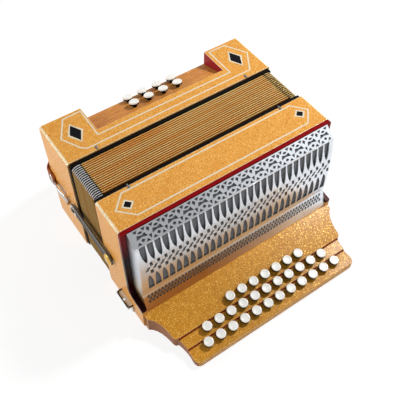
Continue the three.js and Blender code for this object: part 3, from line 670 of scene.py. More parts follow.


# Fingerboard
# A stepped board of wood with bowed ends. Its treads are covered in the same celluloid in a
# deeper gold with coarser flakes; its edges are bare stained wood and its risers dark red.
# Its rounded edges are painted paler, a painted highlight, and a dark strip along the foot of
# each riser is a painted shade.

def grain_group():
    """Wood: long fibres, rings that wander, pores, and the way that the light wood turns dark."""
    tree, given, taken = new_group("wood_grain",
        [("Light", "colour"), ("Dark", "colour"), ("Stretch", "vector"), ("Contrast", "value")],
        [("Color", "colour"), ("Roughness", "value"), ("Height", "value")])
    place = own_place(tree)
    drawn = put(tree, "VectorMath", {0: place, 1: given["Stretch"]}, operation="MULTIPLY").outputs[0]
    fibres = noise(tree, drawn, 7, 5, 0.75)
    banded = calculate(tree, "FRACT", times(tree, noise(tree, drawn, 1, 3, 0.5, 0.8), 6))
    mixed = calculate(tree, "MULTIPLY_ADD", fibres, 0.55, times(tree, banded, 0.45))
    share = calculate(tree, "MULTIPLY_ADD", calculate(tree, "SUBTRACT", mixed, 0.5), given["Contrast"], 0.5)
    link(tree, taken, Color=lay_over(tree, share, given["Dark"], given["Light"]),
         Roughness=ramp(tree, fibres, 0.0, 1.0, 0.42, 0.65), Height=fibres)
    return tree


grain = grain_group()


def wood(name, light, dark, stretch, contrast=1.4, coat=0.0, shine=0.2):
    """Bare, stained or varnished wood with its grain along the axis that is stretched least."""
    finish, tree, shader = new_finish(name, Coat_Weight=coat, Coat_Roughness=0.2, Specular_IOR_Level=shine)
    fibres = use_group(tree, grain, {"Light": light, "Dark": dark, "Stretch": stretch, "Contrast": contrast})
    feed(tree, shader, fibres["Height"], 0.08 * mm, 0.5, Base_Color=fibres["Color"],
         Roughness=fibres["Roughness"])
    return finish


def bridge(mesh, rows, closed=True, material=0):
    """Faces between each row of vertices and the next, and across the row's own gap if it is closed."""
    for first, second in zip(rows, rows[1:]):
        for i in range(len(first) if closed else len(first) - 1):
            j = (i + 1) % len(first)
            mesh.faces.new((first[i], first[j], second[j], second[i])).material_index = material


deep_celluloid = celluloid("deep_gold_celluloid", srgb(224, 158, 48), srgb(196, 128, 34),
                           srgb(250, 206, 104), srgb(148, 94, 26), 950, 0.18, 0.2, 0.05)
# A pale copy for the board's rounded edges: a painted highlight.
highlight_deep = celluloid("rubbed_deep_celluloid", srgb(240, 196, 118), srgb(226, 170, 84),
                        srgb(255, 232, 176), srgb(180, 120, 54), 950, 0.18, 0.2, 0.3)
edge_wood = wood("stained_edge_wood", srgb(184, 118, 60), srgb(104, 56, 26), (22, 160, 160), 0.8, 0.1)
riser_lacquer = lacquer("riser_lacquer", srgb(168, 54, 24), srgb(112, 34, 14), -40, 10)
board_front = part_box("fingerboard")[0].y / mm
front_edge_high = 8
riser_from = -160
riser_to = -120
riser_above = 12


def board_part(centre, normal):
    """0 for a tread and the front edge, 1 for a bare edge, 2 for a riser."""
    if normal.z > 0.5 or centre.y < board_front + 1:
        return 0
    return 2 if normal.y < -0.9 and riser_from < centre.y < riser_to and centre.z > riser_above else 1


def board_share(a, b):
    """The front edge is rounded most, the others only a little."""
    front = min(a.z, b.z) > front_edge_high - 2 and max(a.y, b.y) < board_front + 1
    return 1.0 if front and abs(a.x - b.x) > 3 else 0.35


# Its roundings take the pale copy, a painted highlight.
skin("fingerboard", [deep_celluloid, edge_wood, riser_lacquer, highlight_deep], 1 * mm,
     board_part, board_share)
# Dark strips along the foot of each riser on the tread below: a painted shade under the step.
step_lines = bmesh.new()
step_width = 1.7
step_proud = 0.12
step_side = 0.2
step_depth = Vector((0, 0, 0.5))
step_least = 200
tread_slope = 0.08
board_mesh = frame["nodes"]["fingerboard"].data
for riser in board_mesh.polygons:
    riser_corners = [board_mesh.vertices[i].co / mm for i in riser.vertices]
    left, right = min(c.x for c in riser_corners), max(c.x for c in riser_corners)
    if riser.normal.y > -0.999 or right - left < step_least or not riser_from < riser_corners[0].y < riser_to:
        continue
    foot = min(c.z for c in riser_corners) + step_proud
    back = riser_corners[0].y + step_side
    front = riser_corners[0].y - step_width
    low = foot - (back - front) * tread_slope
    outline = [Vector(corner) for corner in ((left, back, foot), (right, back, foot),
                                             (right + step_side, front, low), (left - step_side, front, low))]
    upper = [step_lines.verts.new(corner * mm) for corner in outline]
    lower = [step_lines.verts.new((corner - step_depth) * mm) for corner in outline]
    bridge(step_lines, [upper, lower])
    step_lines.faces.new(upper)
    step_lines.faces.new(lower)
as_piece("step_lines", step_lines, [riser_lacquer], "treble_end", (), False)


# Treble and bass buttons
# Turned buttons with a top of white pearl plastic on a blackened body, each on a round wooden
# stem that runs in a hole in the board. The middle of the top is sunk, and faintly clouded.
# The black of the body is its own colour and also a painted shade under the cap.

cap_top = 8.35
cap_profile = [(0, 8.05), (2.6, 8.04), (3.9, 8.0), (4.2, 8.1), (4.5, 8.28), (4.9, 8.35), (5.6, 8.3),
               (6.1, 8.1), (6.4, 7.75), (6.5, 7.4), (6.5, 7.2), (6.7, 6.9), (6.85, 6.4), (6.85, 4.8),
               (6.65, 4.3), (6.2, 4.0), (5.6, 3.92), (2.45, 3.92), (2.4, 3.8), (2.4, -4.5), (2.2, -4.6),
               (0, -4.6)]
cap_sides = 40
disc_radius = 4.3
treble_pearl_depth = 0.95
bass_pearl_depth = 2.2


def turned(mesh, profile, place, axis, sides, material=0):
    """Adds a solid of revolution to a bmesh: its profile runs from one end of its axis to the other."""
    turn = Vector((0, 0, 1)).rotation_difference(Vector(axis)).to_matrix()
    rings = []
    for radius, height in profile:
        ring = []
        for i in range(sides if radius else 1):
            angle = math.tau * i / sides
            point = Vector((radius * math.cos(angle), radius * math.sin(angle), height)) * mm
            ring.append(mesh.verts.new(Vector(place) * mm + turn @ point))
        rings.append(ring)
    for upper, lower in zip(rings, rings[1:]):
        for i in range(sides):
            j = (i + 1) % sides
            corners = [ring[k % len(ring)] for ring, k in ((upper, i), (upper, j), (lower, j), (lower, i))]
            mesh.faces.new(list(dict.fromkeys(corners))).material_index = material


def pearl_plastic(name, cloud, light):
    """White plastic with clouds in it, highly polished."""
    finish, tree, shader = new_finish(name, Coat_Weight=0.3, Coat_Roughness=0.08)
    swim = noise(tree, own_place(tree), 190, 4, 0.5, 2.2)
    feed(tree, shader, swim, 0.04 * mm, 0.3, Roughness=ramp(tree, swim, 0.0, 1.0, 0.16, 0.34),
         Base_Color=lay_over(tree, ramp(tree, swim, 0.35, 0.65), cloud, light))
    return finish


pearl = pearl_plastic("white_pearl", srgb(255, 246, 228), srgb(255, 252, 243))
pearl_disc = pearl_plastic("pearl_disc", srgb(238, 240, 236), srgb(254, 252, 248))
# The body under the pearl is near black: its own dark colour, and a painted shade under the cap.
body_and_shade = wood("dark_button_base", srgb(30, 18, 12), srgb(10, 6, 4), (120, 120, 30), shine=0.04)

for joint in frame["joints"]:
    if not joint["name"].startswith(("treble_button", "bass_button")):
        continue
    node = joint["name"].removesuffix("_press")
    button = frame["nodes"][node]
    outward = -Vector(joint["axis"])
    apex = max((vertex.co for vertex in button.data.vertices), key=lambda corner: corner.dot(outward))
    pearl_depth = treble_pearl_depth if node.startswith("treble") else bass_pearl_depth
    cap = bmesh.new()
    turned(cap, cap_profile, (apex - outward * cap_top * mm) / mm, outward, cap_sides)
    for face in cap.faces:
        from_apex = face.calc_center_median() - apex
        under = -from_apex.dot(outward)
        beside = (from_apex + outward * under).length
        face.material_index = 1 if under > pearl_depth * mm else (2 if beside < disc_radius * mm else 0)
    as_piece(node + "_shown", cap, [pearl, body_and_shade, pearl_disc], button["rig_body"], [node])


# Inside the treble box
# A board of pale wood with an oblong hole for each button's pallet, and behind it the block
# of wooden chambers that carries the reeds. Neither shows from outside.

bare_wood = wood("bare_inner_wood", srgb(214, 164, 108), srgb(176, 122, 72), (24, 190, 190))
for inner in ("treble_soundboard", "treble_reed_block", "bass_reed_block"):
    solid = frame["nodes"][inner]
    solid.data.materials.clear()
    solid.data.materials.append(bare_wood)


# Bellows
# Folded card covered in gold-brown cloth, eighteen folds deep, glued to both frames. The tips of
# the folds are painted pale, for rubbing and as a painted highlight; down between them the cloth
# is painted near black, a painted shade, and the left and right faces are painted a darker brown,
# a painted shade too. Next to each frame the cloth takes the dark colour of the grooves.

fold_count = 18
fold_depth = 17
fold_inset = 2.6
fold_skin = 4
bellows_low, bellows_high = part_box("bellows")
bellows_start = bellows_low.y / mm
fold_pitch = (bellows_high.y - bellows_low.y) / mm / fold_count
fold_shape = [(0, 0), (0.1, 0.12), (0.5, 0.23), (1.2, 0.31), (2.4, 0.38), (5.0, 0.54), (10, 0.78)]
end_depth = 5
tip_pale = (0.5, 1.2)
groove_shade = (1.6, 3.8)
end_shade = (0.137, 0.143)
corner_cut = 7.5
corner_fade = 55
front_dark_reach = 2.5
back_dark_reach = 0.3
bellows_ends = (Vector((0, bellows_low.y, 0)), Vector((0, bellows_high.y, 0)))
bellows_ride = ("treble_end", "bass_end", *bellows_ends)


def ring_of(inset, y, parts):
    """A closed loop round the bellows at an inset from the box, its corners rounded, in order."""
    cut = corner_cut * (1 - inset / corner_fade)
    points = []
    for corner in range(4):
        for part in range(parts + 1):
            angle = math.pi / 2 * (corner + part / parts)
            x = (half_length - inset - cut) * (1 if corner in (0, 3) else -1) + cut * math.cos(angle)
            z = (box_height / 2 - inset - cut) * (1 if corner < 2 else -1) + cut * math.sin(angle)
            points.append(Vector((x, y, z + box_height / 2)) * mm)
    return points


def fold_stations():
    """Inset and place along the bellows of each loop, fold after fold."""
    stations = [(fold_inset + end_depth, bellows_start)]
    for fold in range(fold_count):
        tip = bellows_start + (fold + 0.5) * fold_pitch
        for depth, share in reversed(fold_shape[1:]):
            stations.append((fold_inset + depth, tip - share * fold_pitch / 2))
        stations.append((fold_inset, tip))
        for depth, share in fold_shape[1:]:
            stations.append((fold_inset + depth, tip + share * fold_pitch / 2))
        valley = fold_depth if fold < fold_count - 1 else end_depth
        stations.append((fold_inset + valley, tip + fold_pitch / 2))
    return stations


bellows_finish, bellows_tree, bellows_shader = new_finish("bellows_cloth", Roughness=0.65,
                                                          Specular_IOR_Level=0.1)
bellows_depth = put(bellows_tree, "Attribute", attribute_name="fold_depth").outputs["Fac"]
bellows_place = own_place(bellows_tree)
bellows_weave = noise(bellows_tree, bellows_place, 420, 4)
bellows_folds = put(bellows_tree, "Mapping", {"Vector": bellows_place, "Scale": (6, 340, 6)}).outputs[0]
bellows_dull = ramp(bellows_tree, noise(bellows_tree, bellows_folds, 1, 2), 0.42, 0.62, 0.0, 0.6)
bellows_deep = lay_over(bellows_tree, noise(bellows_tree, bellows_place, 26, 4), srgb(214, 114, 26),
                        srgb(250, 150, 44))
bellows_tip = lay_over(bellows_tree, bellows_weave, srgb(255, 226, 132), srgb(255, 246, 184))
bellows_tip = lay_over(bellows_tree, bellows_dull, bellows_tip, srgb(246, 168, 62))
# Near black down in the grooves: a painted shade.
bellows_groove_shade = ramp(bellows_tree, bellows_depth, *groove_shade)
bellows_colour = lay_over(bellows_tree, bellows_groove_shade, bellows_deep, srgb(30, 13, 3))
# Pale on the tips: rubbed, and a painted highlight.
bellows_near = ramp(bellows_tree, bellows_depth, *tip_pale, 1.0, 0.0)
bellows_colour = lay_over(bellows_tree, bellows_near, bellows_colour, bellows_tip)
bellows_way = put(bellows_tree, "SeparateXYZ", {0: bellows_place}).outputs
# Darker brown on the left and right faces of the bellows: a painted shade.
bellows_end = calculate(bellows_tree, "ABSOLUTE", bellows_way["X"], 0.0)
bellows_end = ramp(bellows_tree, bellows_end, *end_shade, 0.0, 0.5)
bellows_colour = lay_over(bellows_tree, bellows_end, bellows_colour, srgb(112, 62, 24))
feed(bellows_tree, bellows_shader, bellows_weave, 0.1 * mm, 0.5, Base_Color=bellows_colour)

pleats = bmesh.new()
depth_layer = pleats.verts.layers.float.new("fold_depth")
stations = fold_stations()
pleat_rings = [(ring_of(inset, y, 3), y, inset - fold_inset) for inset, y in stations]
pleat_rings += [(ring_of(inset + fold_skin, y, 3), y, fold_depth) for inset, y in reversed(stations)]
loops = []
for ring, y, depth in pleat_rings:
    # Within a short reach of each frame the cloth takes the grooves' dark colour.
    near_frame = y < bellows_start + front_dark_reach or y > bellows_high.y / mm - back_dark_reach
    loops.append([pleats.verts.new(point) for point in ring])
    for vertex in loops[-1]:
        vertex[depth_layer] = fold_depth if near_frame else depth
bridge(pleats, loops + loops[:1])
as_piece("bellows_shown", pleats, [bellows_finish], bellows_ride, ["bellows"], False)


# Bellows corners
# The corners of the bellows are gussets of black leather. A small cap of bright tinplate is
# pressed over the tip of every fold there, round the corner and a little way along the face.
# At the right end the caps are duller and yellower, and the leather is brown.

cap_reach = 4.5
gusset_reach = 5.2
corner_section = [(-0.42, 0), (-0.36, 0.1), (-0.16, 0.17), (0.2, 0.22), (0.5, 0.25), (0.5, 0.21), (0.2, 0.18),
                  (-0.08, 0.11), (-0.15, 0)]
corner_parts = 4
right_corners = (0, 3)
gusset_proud = 0.07
gusset_sheet = 0.4


def corner_path(inset, corner, reach):
    """Points of one corner's line at an inset: the rounded corner, and a leg along the top or bottom."""
    loop = ring_of(inset, 0, corner_parts)
    first = corner * (corner_parts + 1)
    arc = loop[first:first + corner_parts + 1]
    if corner in (0, 2):
        leg = arc[-1] + Vector((-1 if corner == 0 else 1, 0, 0)) * reach * mm
        return [*arc[1:], leg]
    leg = arc[0] + Vector((1 if corner == 1 else -1, 0, 0)) * reach * mm
    return [leg, *arc[:-1]]


def leather_group():
    """Leather: pebbled grain, creases, and rubbed places that turn paler."""
    tree, given, taken = new_group("leather_grain",
        [("Base", "colour"), ("Worn", "colour"), ("Pebbles per Metre", "value")],
        [("Color", "colour"), ("Roughness", "value"), ("Height", "value")])
    place = own_place(tree)
    pebbles = put(tree, "TexVoronoi", {"Vector": place, "Scale": given["Pebbles per Metre"]},
                  feature="SMOOTH_F1").outputs["Distance"]
    creases = noise(tree, place, 90, 7, 0.7, 0.5)
    link(tree, taken, Color=lay_over(tree, ramp(tree, creases, 0.42, 0.72), given["Base"], given["Worn"]),
         Roughness=ramp(tree, creases, 0.0, 1.0, 0.32, 0.62),
         Height=calculate(tree, "MULTIPLY_ADD", creases, 0.6, pebbles))
    return tree


leather_grain = leather_group()


def leather(name, base, worn, pebbles, depth=0.12 * mm):
    """A leather finish, scuffed paler here and there."""
    finish, tree, shader = new_finish(name, Coat_Roughness=0.35, Specular_IOR_Level=0.2)
    hide = use_group(tree, leather_grain, {"Base": base, "Worn": worn, "Pebbles per Metre": pebbles})
    feed(tree, shader, hide["Height"], depth, 0.6, Roughness=hide["Roughness"],
         Base_Color=scuffed(tree, hide["Color"], worn, 150, 0.7, 0.7))
    return finish


gusset_leather = leather("black_gusset_leather", srgb(8, 6, 5), srgb(20, 16, 14), 1800, 0.05 * mm)
brown_corner_leather = leather("rubbed_gusset_leather", srgb(112, 72, 30), srgb(150, 104, 50), 1800, 0.05 * mm)
tin_marks = (500, 500, 500)
tinplate = bright_metal("corner_tinplate", srgb(255, 255, 255), srgb(226, 226, 222), tin_marks, 0.25, 0.45,
                        0.3)
dull_tinplate = bright_metal("dull_corner_tinplate", srgb(214, 186, 116), srgb(140, 122, 76), tin_marks,
                             0.35, 0.55, 0.3)
cap_section = corner_section + [(inset, -share) for inset, share in reversed(corner_section[1:-1])]
gussets = bmesh.new()
corner_caps = bmesh.new()
for corner in range(4):
    # The right corners take the duller caps and the brown leather.
    worn = 1 if corner in right_corners else 0
    layers = []
    for sunk in (-gusset_proud, gusset_sheet):
        paths = [(corner_path(inset + sunk, corner, gusset_reach), y) for inset, y in stations]
        layers.append([[gussets.verts.new(point + Vector((0, y, 0)) * mm) for point in path]
                       for path, y in paths])
    rows = layers[0] + layers[1][::-1]
    bridge(gussets, rows + rows[:1], False, worn)
    for side in (0, -1):
        bridge(gussets, [[row[side] for row in layer] for layer in layers], False, worn)
    for fold in range(fold_count):
        tip = bellows_start + (fold + 0.5) * fold_pitch
        rows = []
        for inset, share in cap_section:
            across = Vector((0, tip + share * fold_pitch / 2, 0)) * mm
            path = corner_path(fold_inset + inset, corner, cap_reach)
            rows.append([corner_caps.verts.new(point + across) for point in path])
        bridge(corner_caps, rows + rows[:1], False, worn)
        for end in (0, -1):
            corner_caps.faces.new([row[end] for row in rows]).material_index = worn
as_piece("bellows_corner_gussets", gussets, [gusset_leather, brown_corner_leather], bellows_ride,
         (), False)
as_piece("bellows_corner_caps", corner_caps, [tinplate, dull_tinplate], bellows_ride, (), False)


# Bellows frames
# Two frames of wood painted black, to which the bellows are glued. Each one is pinned
# inside the rim of its box, with a thin strip of leather between them.

black_paint, black_tree, black_shader = new_finish("black_paint", Specular_IOR_Level=0.06)
black_marks = noise(black_tree, own_place(black_tree), 160, 5)
black_tone = lay_over(black_tree, black_marks, srgb(8, 6, 5), srgb(20, 16, 13))
feed(black_tree, black_shader, black_marks, 0.05 * mm, 0.4,
     Base_Color=scuffed(black_tree, black_tone, srgb(80, 64, 48), 200, 0.5, 0.3),
     Roughness=ramp(black_tree, black_marks, 0.0, 1.0, 0.4, 0.65))
for side in ("treble", "bass"):
    skin("bellows_frame_" + side, [black_paint], 0.6 * mm)


# Bass box
# The second box, covered as the first one. A recess for the fingers is cut into its front
# edge, and the side walls of the recess are lacquered red.

recess_left = -96
recess_right = 98
recess_reach = 44.8
recess_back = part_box("bass_case")[1].y / mm - recess_reach
wall_reach = 0.2
# The recess walls are painted darker downwards, a painted shade in the recess.
recess_lacquer = lacquer("recess_lacquer", srgb(160, 42, 46), srgb(120, 24, 30), 120, 172)


def case_part(centre, normal):
    """1 for the side and back walls of the recess, else 0."""
    if centre.z < box_height / 2 or abs(normal.z) > 0.5:
        return 0
    beside = min(abs(centre.x - recess_left), abs(centre.x - recess_right)) < wall_reach
    behind = abs(centre.y - recess_back) < wall_reach and recess_left - 1 < centre.x < recess_right + 1
    return 1 if (beside and centre.y > recess_back - 1) or behind else 0


cover_share = box_share(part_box("bass_cover")[0].y / mm)
panel_wood = wood("varnished_panel_wood", srgb(236, 164, 78), srgb(176, 98, 38), (16, 260, 260), 1.9, 0.1)
# The rounded edges of the case and cover take the pale celluloid, a painted highlight.
skin("bass_case", [gold_celluloid, recess_lacquer, rubbed_celluloid], case_edge,
     highlight_edges(2, case_part), cover_share)
skin("bass_cover", [gold_celluloid, rubbed_celluloid], case_edge, None, cover_share)
skin("bass_button_panel", [panel_wood], 0.4 * mm)


# Inlaid lines and diamonds
# Cream celluloid lines two millimetres wide, let into the covering round the top of each box,
# and black diamonds with a cream border near the ends. The plates between them are bare.

line_width = 2.0
inlay_top = box_height + 0.12
inlay_sunk = 0.6
diamond_border = 3.0
diamond_lap = 0.98
diamond_proud = 0.05
bass_line = [(-99.8, 88.5), (-98.4, 137.2), (-124.0, 136.6), (-141.3, 106.7), (-127.5, 80.9), (-121.2, 75.6),
             (128.5, 76.4), (147.0, 106.9), (129.8, 136.8), (103.6, 137.4), (103.2, 87.6)]
treble_line = [(-123.0, -45.0), (-140.9, -26.4), (-123.0, -7.8), (128.0, -7.8), (143.6, -26.4),
               (128.0, -45.0)]
bass_diamonds = [(-121.4, 106.8), (126.2, 106.4)]
treble_diamonds = [(-125.1, -25.9), (129.8, -26.3)]


def inlaid(mesh, outer, inner, top, material=0):
    """A flat frame, or a plate where there is no inner line, let into the top of a box."""
    heights = (top, box_height - inlay_sunk)
    rings = [[[mesh.verts.new(Vector((x, y, z)) * mm) for x, y in line] for z in heights]
             for line in ([outer, inner] if inner else [outer])]
    for ring in rings:
        bridge(mesh, ring, True, material)
    for level in (0, 1):
        if inner:
            bridge(mesh, [rings[0][level], rings[1][level]], True, material)
        else:
            mesh.faces.new(rings[0][level]).material_index = material


def diamond_at(centre, half_x, half_y):
    """The four corners of a diamond."""
    x, y = centre
    return [(x - half_x, y), (x, y - half_y), (x + half_x, y), (x, y + half_y)]


def plain_celluloid(name, light, dark, roughness):
    """Plain celluloid with faint clouds and fine scratches."""
    finish, tree, shader = new_finish(name, Coat_Roughness=0.2, Specular_IOR_Level=0.08)
    place = own_place(tree)
    scratch = noise(tree, place, 1500, 2)
    colour = lay_over(tree, noise(tree, place, 130, 6, 0.7), dark, light)
    feed(tree, shader, scratch, 0.02 * mm, 0.3, Base_Color=colour,
         Roughness=calculate(tree, "MULTIPLY_ADD", scratch, 0.2, roughness))
    return finish


cream = plain_celluloid("cream_celluloid", srgb(244, 234, 210), srgb(218, 202, 170), 0.3)
jet = plain_celluloid("black_celluloid", srgb(22, 22, 26), srgb(6, 6, 8), 0.3)
for end, line, diamonds, half in (("treble", treble_line, treble_diamonds, (5.5, 5.5)),
                                  ("bass", bass_line, bass_diamonds, (7.9, 14.9))):
    inlay = bmesh.new()
    inlaid(inlay, moved_line(line, -line_width / 2), moved_line(line, line_width / 2), inlay_top)
    for centre in diamonds:
        border_outer = diamond_at(centre, *[reach + diamond_border for reach in half])
        border_inner = diamond_at(centre, *[reach * diamond_lap for reach in half])
        inlaid(inlay, border_outer, border_inner, inlay_top)
        inlaid(inlay, diamond_at(centre, *half), None, inlay_top + diamond_proud, 1)
    as_piece(end + "_inlay", inlay, [cream, jet], end + "_end", (), False)


# Hand strap
# A strap of brown leather over the bass cover. Both its ends go round the corners of the box
# and are held there by a plate and two screws; a line of thread runs along each edge.

strap_low, strap_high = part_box("hand_strap")
strap_middle = (strap_low.z + strap_high.z) / 2 / mm
strap_half_width = (strap_high.z - strap_low.z) / 2 / mm
strap_sheet = 3.6
strap_half = half_length + 0.3 + strap_sheet / 2
cover_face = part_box("bass_cover")[1].y / mm
strap_tab = 12
strap_corner = 9
strap_arch = 30
strap_steps = 150
strap_crown = 0.15
strap_rounding = 0.45
strap_end_width = 0.64
strap_pitch = 4.0
strap_stitch = [(0, -1.4), (0.35, -2.8 / 3), (0.35, 2.8 / 3), (0, 1.4)]
line_parts = 24
seam_inset = 2.6


def smooth_line(controls, steps):
    """Points evenly spaced on a smooth line through control points."""
    first = controls[0] * 2 - controls[1]
    last = controls[-1] * 2 - controls[-2]
    full = [first, *controls, last]
    fine = []
    for a, b, c, d in zip(full, full[1:], full[2:], full[3:]):
        gaps = [max((q - p).length ** 0.5, 1e-6) for p, q in ((a, b), (b, c), (c, d))]
        start = ((b - a) / gaps[0] - (c - a) / (gaps[0] + gaps[1]) + (c - b) / gaps[1]) * gaps[1]
        end = ((c - b) / gaps[1] - (d - b) / (gaps[1] + gaps[2]) + (d - c) / gaps[2]) * gaps[1]
        for i in range(line_parts):
            t = i / line_parts
            fine.append(b * (2 * t ** 3 - 3 * t ** 2 + 1) + start * (t ** 3 - 2 * t ** 2 + t)
                        + c * (3 * t ** 2 - 2 * t ** 3) + end * (t ** 3 - t ** 2))
    fine.append(controls[-1])
    runs = [0.0]
    for p, q in zip(fine, fine[1:]):
        runs.append(runs[-1] + (q - p).length)
    evenly = []
    at = 0
    for step in range(steps + 1):
        wanted = runs[-1] * step / steps
        while at < len(runs) - 2 and runs[at + 1] < wanted:
            at += 1
        share = (wanted - runs[at]) / (runs[at + 1] - runs[at])
        evenly.append(fine[at].lerp(fine[at + 1], min(share, 1)))
    return evenly


def swept(mesh, points, outward, section_at):
    """Sweeps a closed section along points; a section gives (out, across) for a share of the way."""
    across = Vector((0, 0, 1))
    rows = []
    for i, point in enumerate(points):
        ahead = (points[min(i + 1, len(points) - 1)] - points[max(i - 1, 0)]).normalized()
        out = ahead.cross(across) * outward
        section = section_at(i / (len(points) - 1))
        rows.append([mesh.verts.new((point + out * u + across * v) * mm) for u, v in section])
    bridge(mesh, rows)
    for row in (rows[0], rows[-1]):
        mesh.faces.new(row)


def stitches(mesh, points, pitch, bead, proud=0.0, material=0):
    """A row of thread stitches along a line, each a small rounded bead, standing proud of it."""
    run = 0.0
    for here, there in zip(points, points[1:]):
        run += (there - here).length
        if run < pitch:
            continue
        run = 0.0
        ahead = (there - here).normalized()
        turned(mesh, bead, here + ahead.cross(Vector((0, 0, -1))) * proud, ahead, 6, material)


brown_leather = leather("brown_strap_leather", srgb(142, 68, 28), srgb(194, 112, 58), 1500)
thread, thread_tree, thread_shader = new_finish("waxed_thread", Roughness=0.6)
thread_fibres = noise(thread_tree, own_place(thread_tree), 2400, 2)
feed(thread_tree, thread_shader, thread_fibres, 0.05 * mm, 0.6,
     Base_Color=lay_over(thread_tree, thread_fibres, srgb(150, 120, 84), srgb(212, 186, 144)))

strap_turn = [(-strap_half, -strap_tab), (-strap_half, -strap_corner / 2), (-strap_half, strap_corner / 2),
              (-strap_half + strap_corner, strap_corner + strap_sheet), (-strap_half / 2, strap_arch * 0.88)]
strap_controls = strap_turn + [(0, strap_arch)] + [(-x, y) for x, y in reversed(strap_turn)]
strap_path = smooth_line([Vector((x, cover_face + y, strap_middle)) for x, y in strap_controls], strap_steps)


def hand_strap_half(share):
    """Half its width along the strap: full in the middle, narrow at its rounded ends."""
    from_end = min(share, 1 - share) * strap_steps
    widening = min(max((from_end - 5) / 12, 0), 1)
    narrow = strap_end_width + (1 - strap_end_width) * widening ** 2 * (3 - 2 * widening)
    return strap_half_width * narrow * (0.78 + 0.22 * math.sin(min(from_end / 3, 1) * math.pi / 2))


def hand_strap_section(share):
    """The strap's section: flat inside, rounded at both edges, a little crowned outside."""
    half_width = hand_strap_half(share)
    sheet = strap_sheet - 0.2
    edge = sheet * strap_rounding
    outer = [(sheet / 2 - edge * (1 - math.sin(a)), half_width - edge * (1 - math.cos(a)))
             for a in (0, math.pi / 6, math.pi / 3, math.pi / 2)]
    middle = [(sheet / 2 + strap_crown * (1 - (v / half_width) ** 2), v)
              for v in (half_width * 0.55, half_width * 0.2, -half_width * 0.2, -half_width * 0.55)]
    mirrored = [(u, -v) for u, v in reversed(outer)]
    under = [(-sheet / 2, -half_width + edge * 0.6), (-sheet / 2, 0), (-sheet / 2, half_width - edge * 0.6)]
    return outer + middle + mirrored + under


hand_strap = bmesh.new()
swept(hand_strap, strap_path, -1, hand_strap_section)
for side in (-1, 1):
    seam = [point + Vector((0, 0, side * (hand_strap_half(i / strap_steps) - seam_inset)))
            for i, point in enumerate(strap_path)]
    stitches(hand_strap, seam[6:-6], strap_pitch, strap_stitch, strap_sheet / 2 - 0.1, 1)
as_piece("hand_strap_shown", hand_strap, [brown_leather, thread], "bass_end", ["hand_strap"])


# Screws, pins and plates
# Turned and nickel-plated fittings: slotted screws for the hand strap, the brackets, the cover
# and the grille, and the pins that hold the bellows frames inside the rims of the boxes.

nickel = bright_metal("nickel_plate", srgb(196, 194, 190), srgb(120, 114, 104), (400, 400, 400), 0.1, 0.32)
slot_dark = plain_celluloid("slot_shadow", srgb(36, 32, 28), srgb(14, 12, 10), 0.5)
screw_profile = [(0, 1.3), (1.0, 1.2), (1.8, 0.9), (2.3, 0.4), (2.4, 0), (2.4, -0.3), (1.2, -0.4),
                 (1.2, -3.5), (0, -4.0)]
slot_half = Vector((2.1, 0.3, 0.2))
slot_high = 1.12
box_sides = ((0, 1, 3, 2), (4, 6, 7, 5), (0, 4, 5, 1), (2, 3, 7, 6), (0, 2, 6, 4), (1, 5, 7, 3))


def screw(mesh, place, axis, size, slot_turn=0.4):
    """A round-headed screw with its slot, half sunk into what it holds."""
    turned(mesh, [(r * size, h * size) for r, h in screw_profile], place, axis, 20)
    turn = Vector((0, 0, 1)).rotation_difference(Vector(axis)).to_matrix()
    turn = turn @ Matrix.Rotation(slot_turn, 3, "Z")
    corners = [Vector((sx * slot_half.x, sy * slot_half.y, slot_high + sz * slot_half.z)) * size
               for sx in (-1, 1) for sy in (-1, 1) for sz in (-1, 1)]
    verts = [mesh.verts.new((Vector(place) + turn @ corner) * mm) for corner in corners]
    for loop in box_sides:
        mesh.faces.new([verts[i] for i in loop]).material_index = 1


def plate(mesh, corners, axis, thickness):
    """A flat plate through its corner points, with a thickness along an axis."""
    front = [mesh.verts.new(Vector(corner) * mm) for corner in corners]
    back = [mesh.verts.new((Vector(corner) - Vector(axis) * thickness) * mm) for corner in corners]
    mesh.faces.new(front)
    mesh.faces.new(back)
    bridge(mesh, [front, back])


end_plate_sunk = 2.5
end_plate_deep = 6.5
end_plate_half = 9
end_plate_thick = 0.8
cover_screws = [(-138, 16), (-138, 150), (-60, 16), (-60, 140), (60, 16), (60, 140), (138, 16), (138, 150)]
grille_screws = [(-66.5, 160.5), (-66.5, 92)]
bracket_plate = 1.8
bracket_screw_high = 6
bass_fittings = bmesh.new()
treble_fittings = bmesh.new()
plate_x = half_length + 0.3 + strap_sheet + 0.7
plate_front = cover_face - strap_tab + end_plate_sunk
plate_back = plate_front + end_plate_deep
plate_low, plate_high = strap_middle - end_plate_half, strap_middle + end_plate_half
plate_outline = [(plate_front + 1.5, plate_low), (plate_back, plate_low), (plate_back, plate_high),
                 (plate_front + 1.5, plate_high), (plate_front, plate_high - 2),
                 (plate_front, plate_low + 2)]
grille_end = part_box("treble_grille")[1].x / mm
for name, side in (("left", -1), ("right", 1)):
    out = Vector((side, 0, 0))
    plate(bass_fittings, [(side * plate_x, y, z) for y, z in plate_outline], out, end_plate_thick)
    for z in (strap_middle - 5, strap_middle + 5):
        screw(bass_fittings, (side * plate_x, (plate_front + plate_back) / 2, z), out, 0.8, 0.5 + z)
    for y, z in grille_screws:
        screw(treble_fittings, (side * grille_end, y, z), out, 0.42)
    low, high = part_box("strap_bracket_" + name)
    for share in (0.2, 0.8):
        y, z = (low.y + (high.y - low.y) * share) / mm, low.z / mm + bracket_screw_high
        screw(treble_fittings, (side * (half_length + bracket_plate), y, z), out, 0.7, share)
for x, z in cover_screws:
    screw(bass_fittings, (x, cover_face, z), (0, 1, 0), 0.85, x)
as_piece("bass_screws", bass_fittings, [nickel, slot_dark], "bass_end")
as_piece("treble_screws", treble_fittings, [nickel, slot_dark], "treble_end")

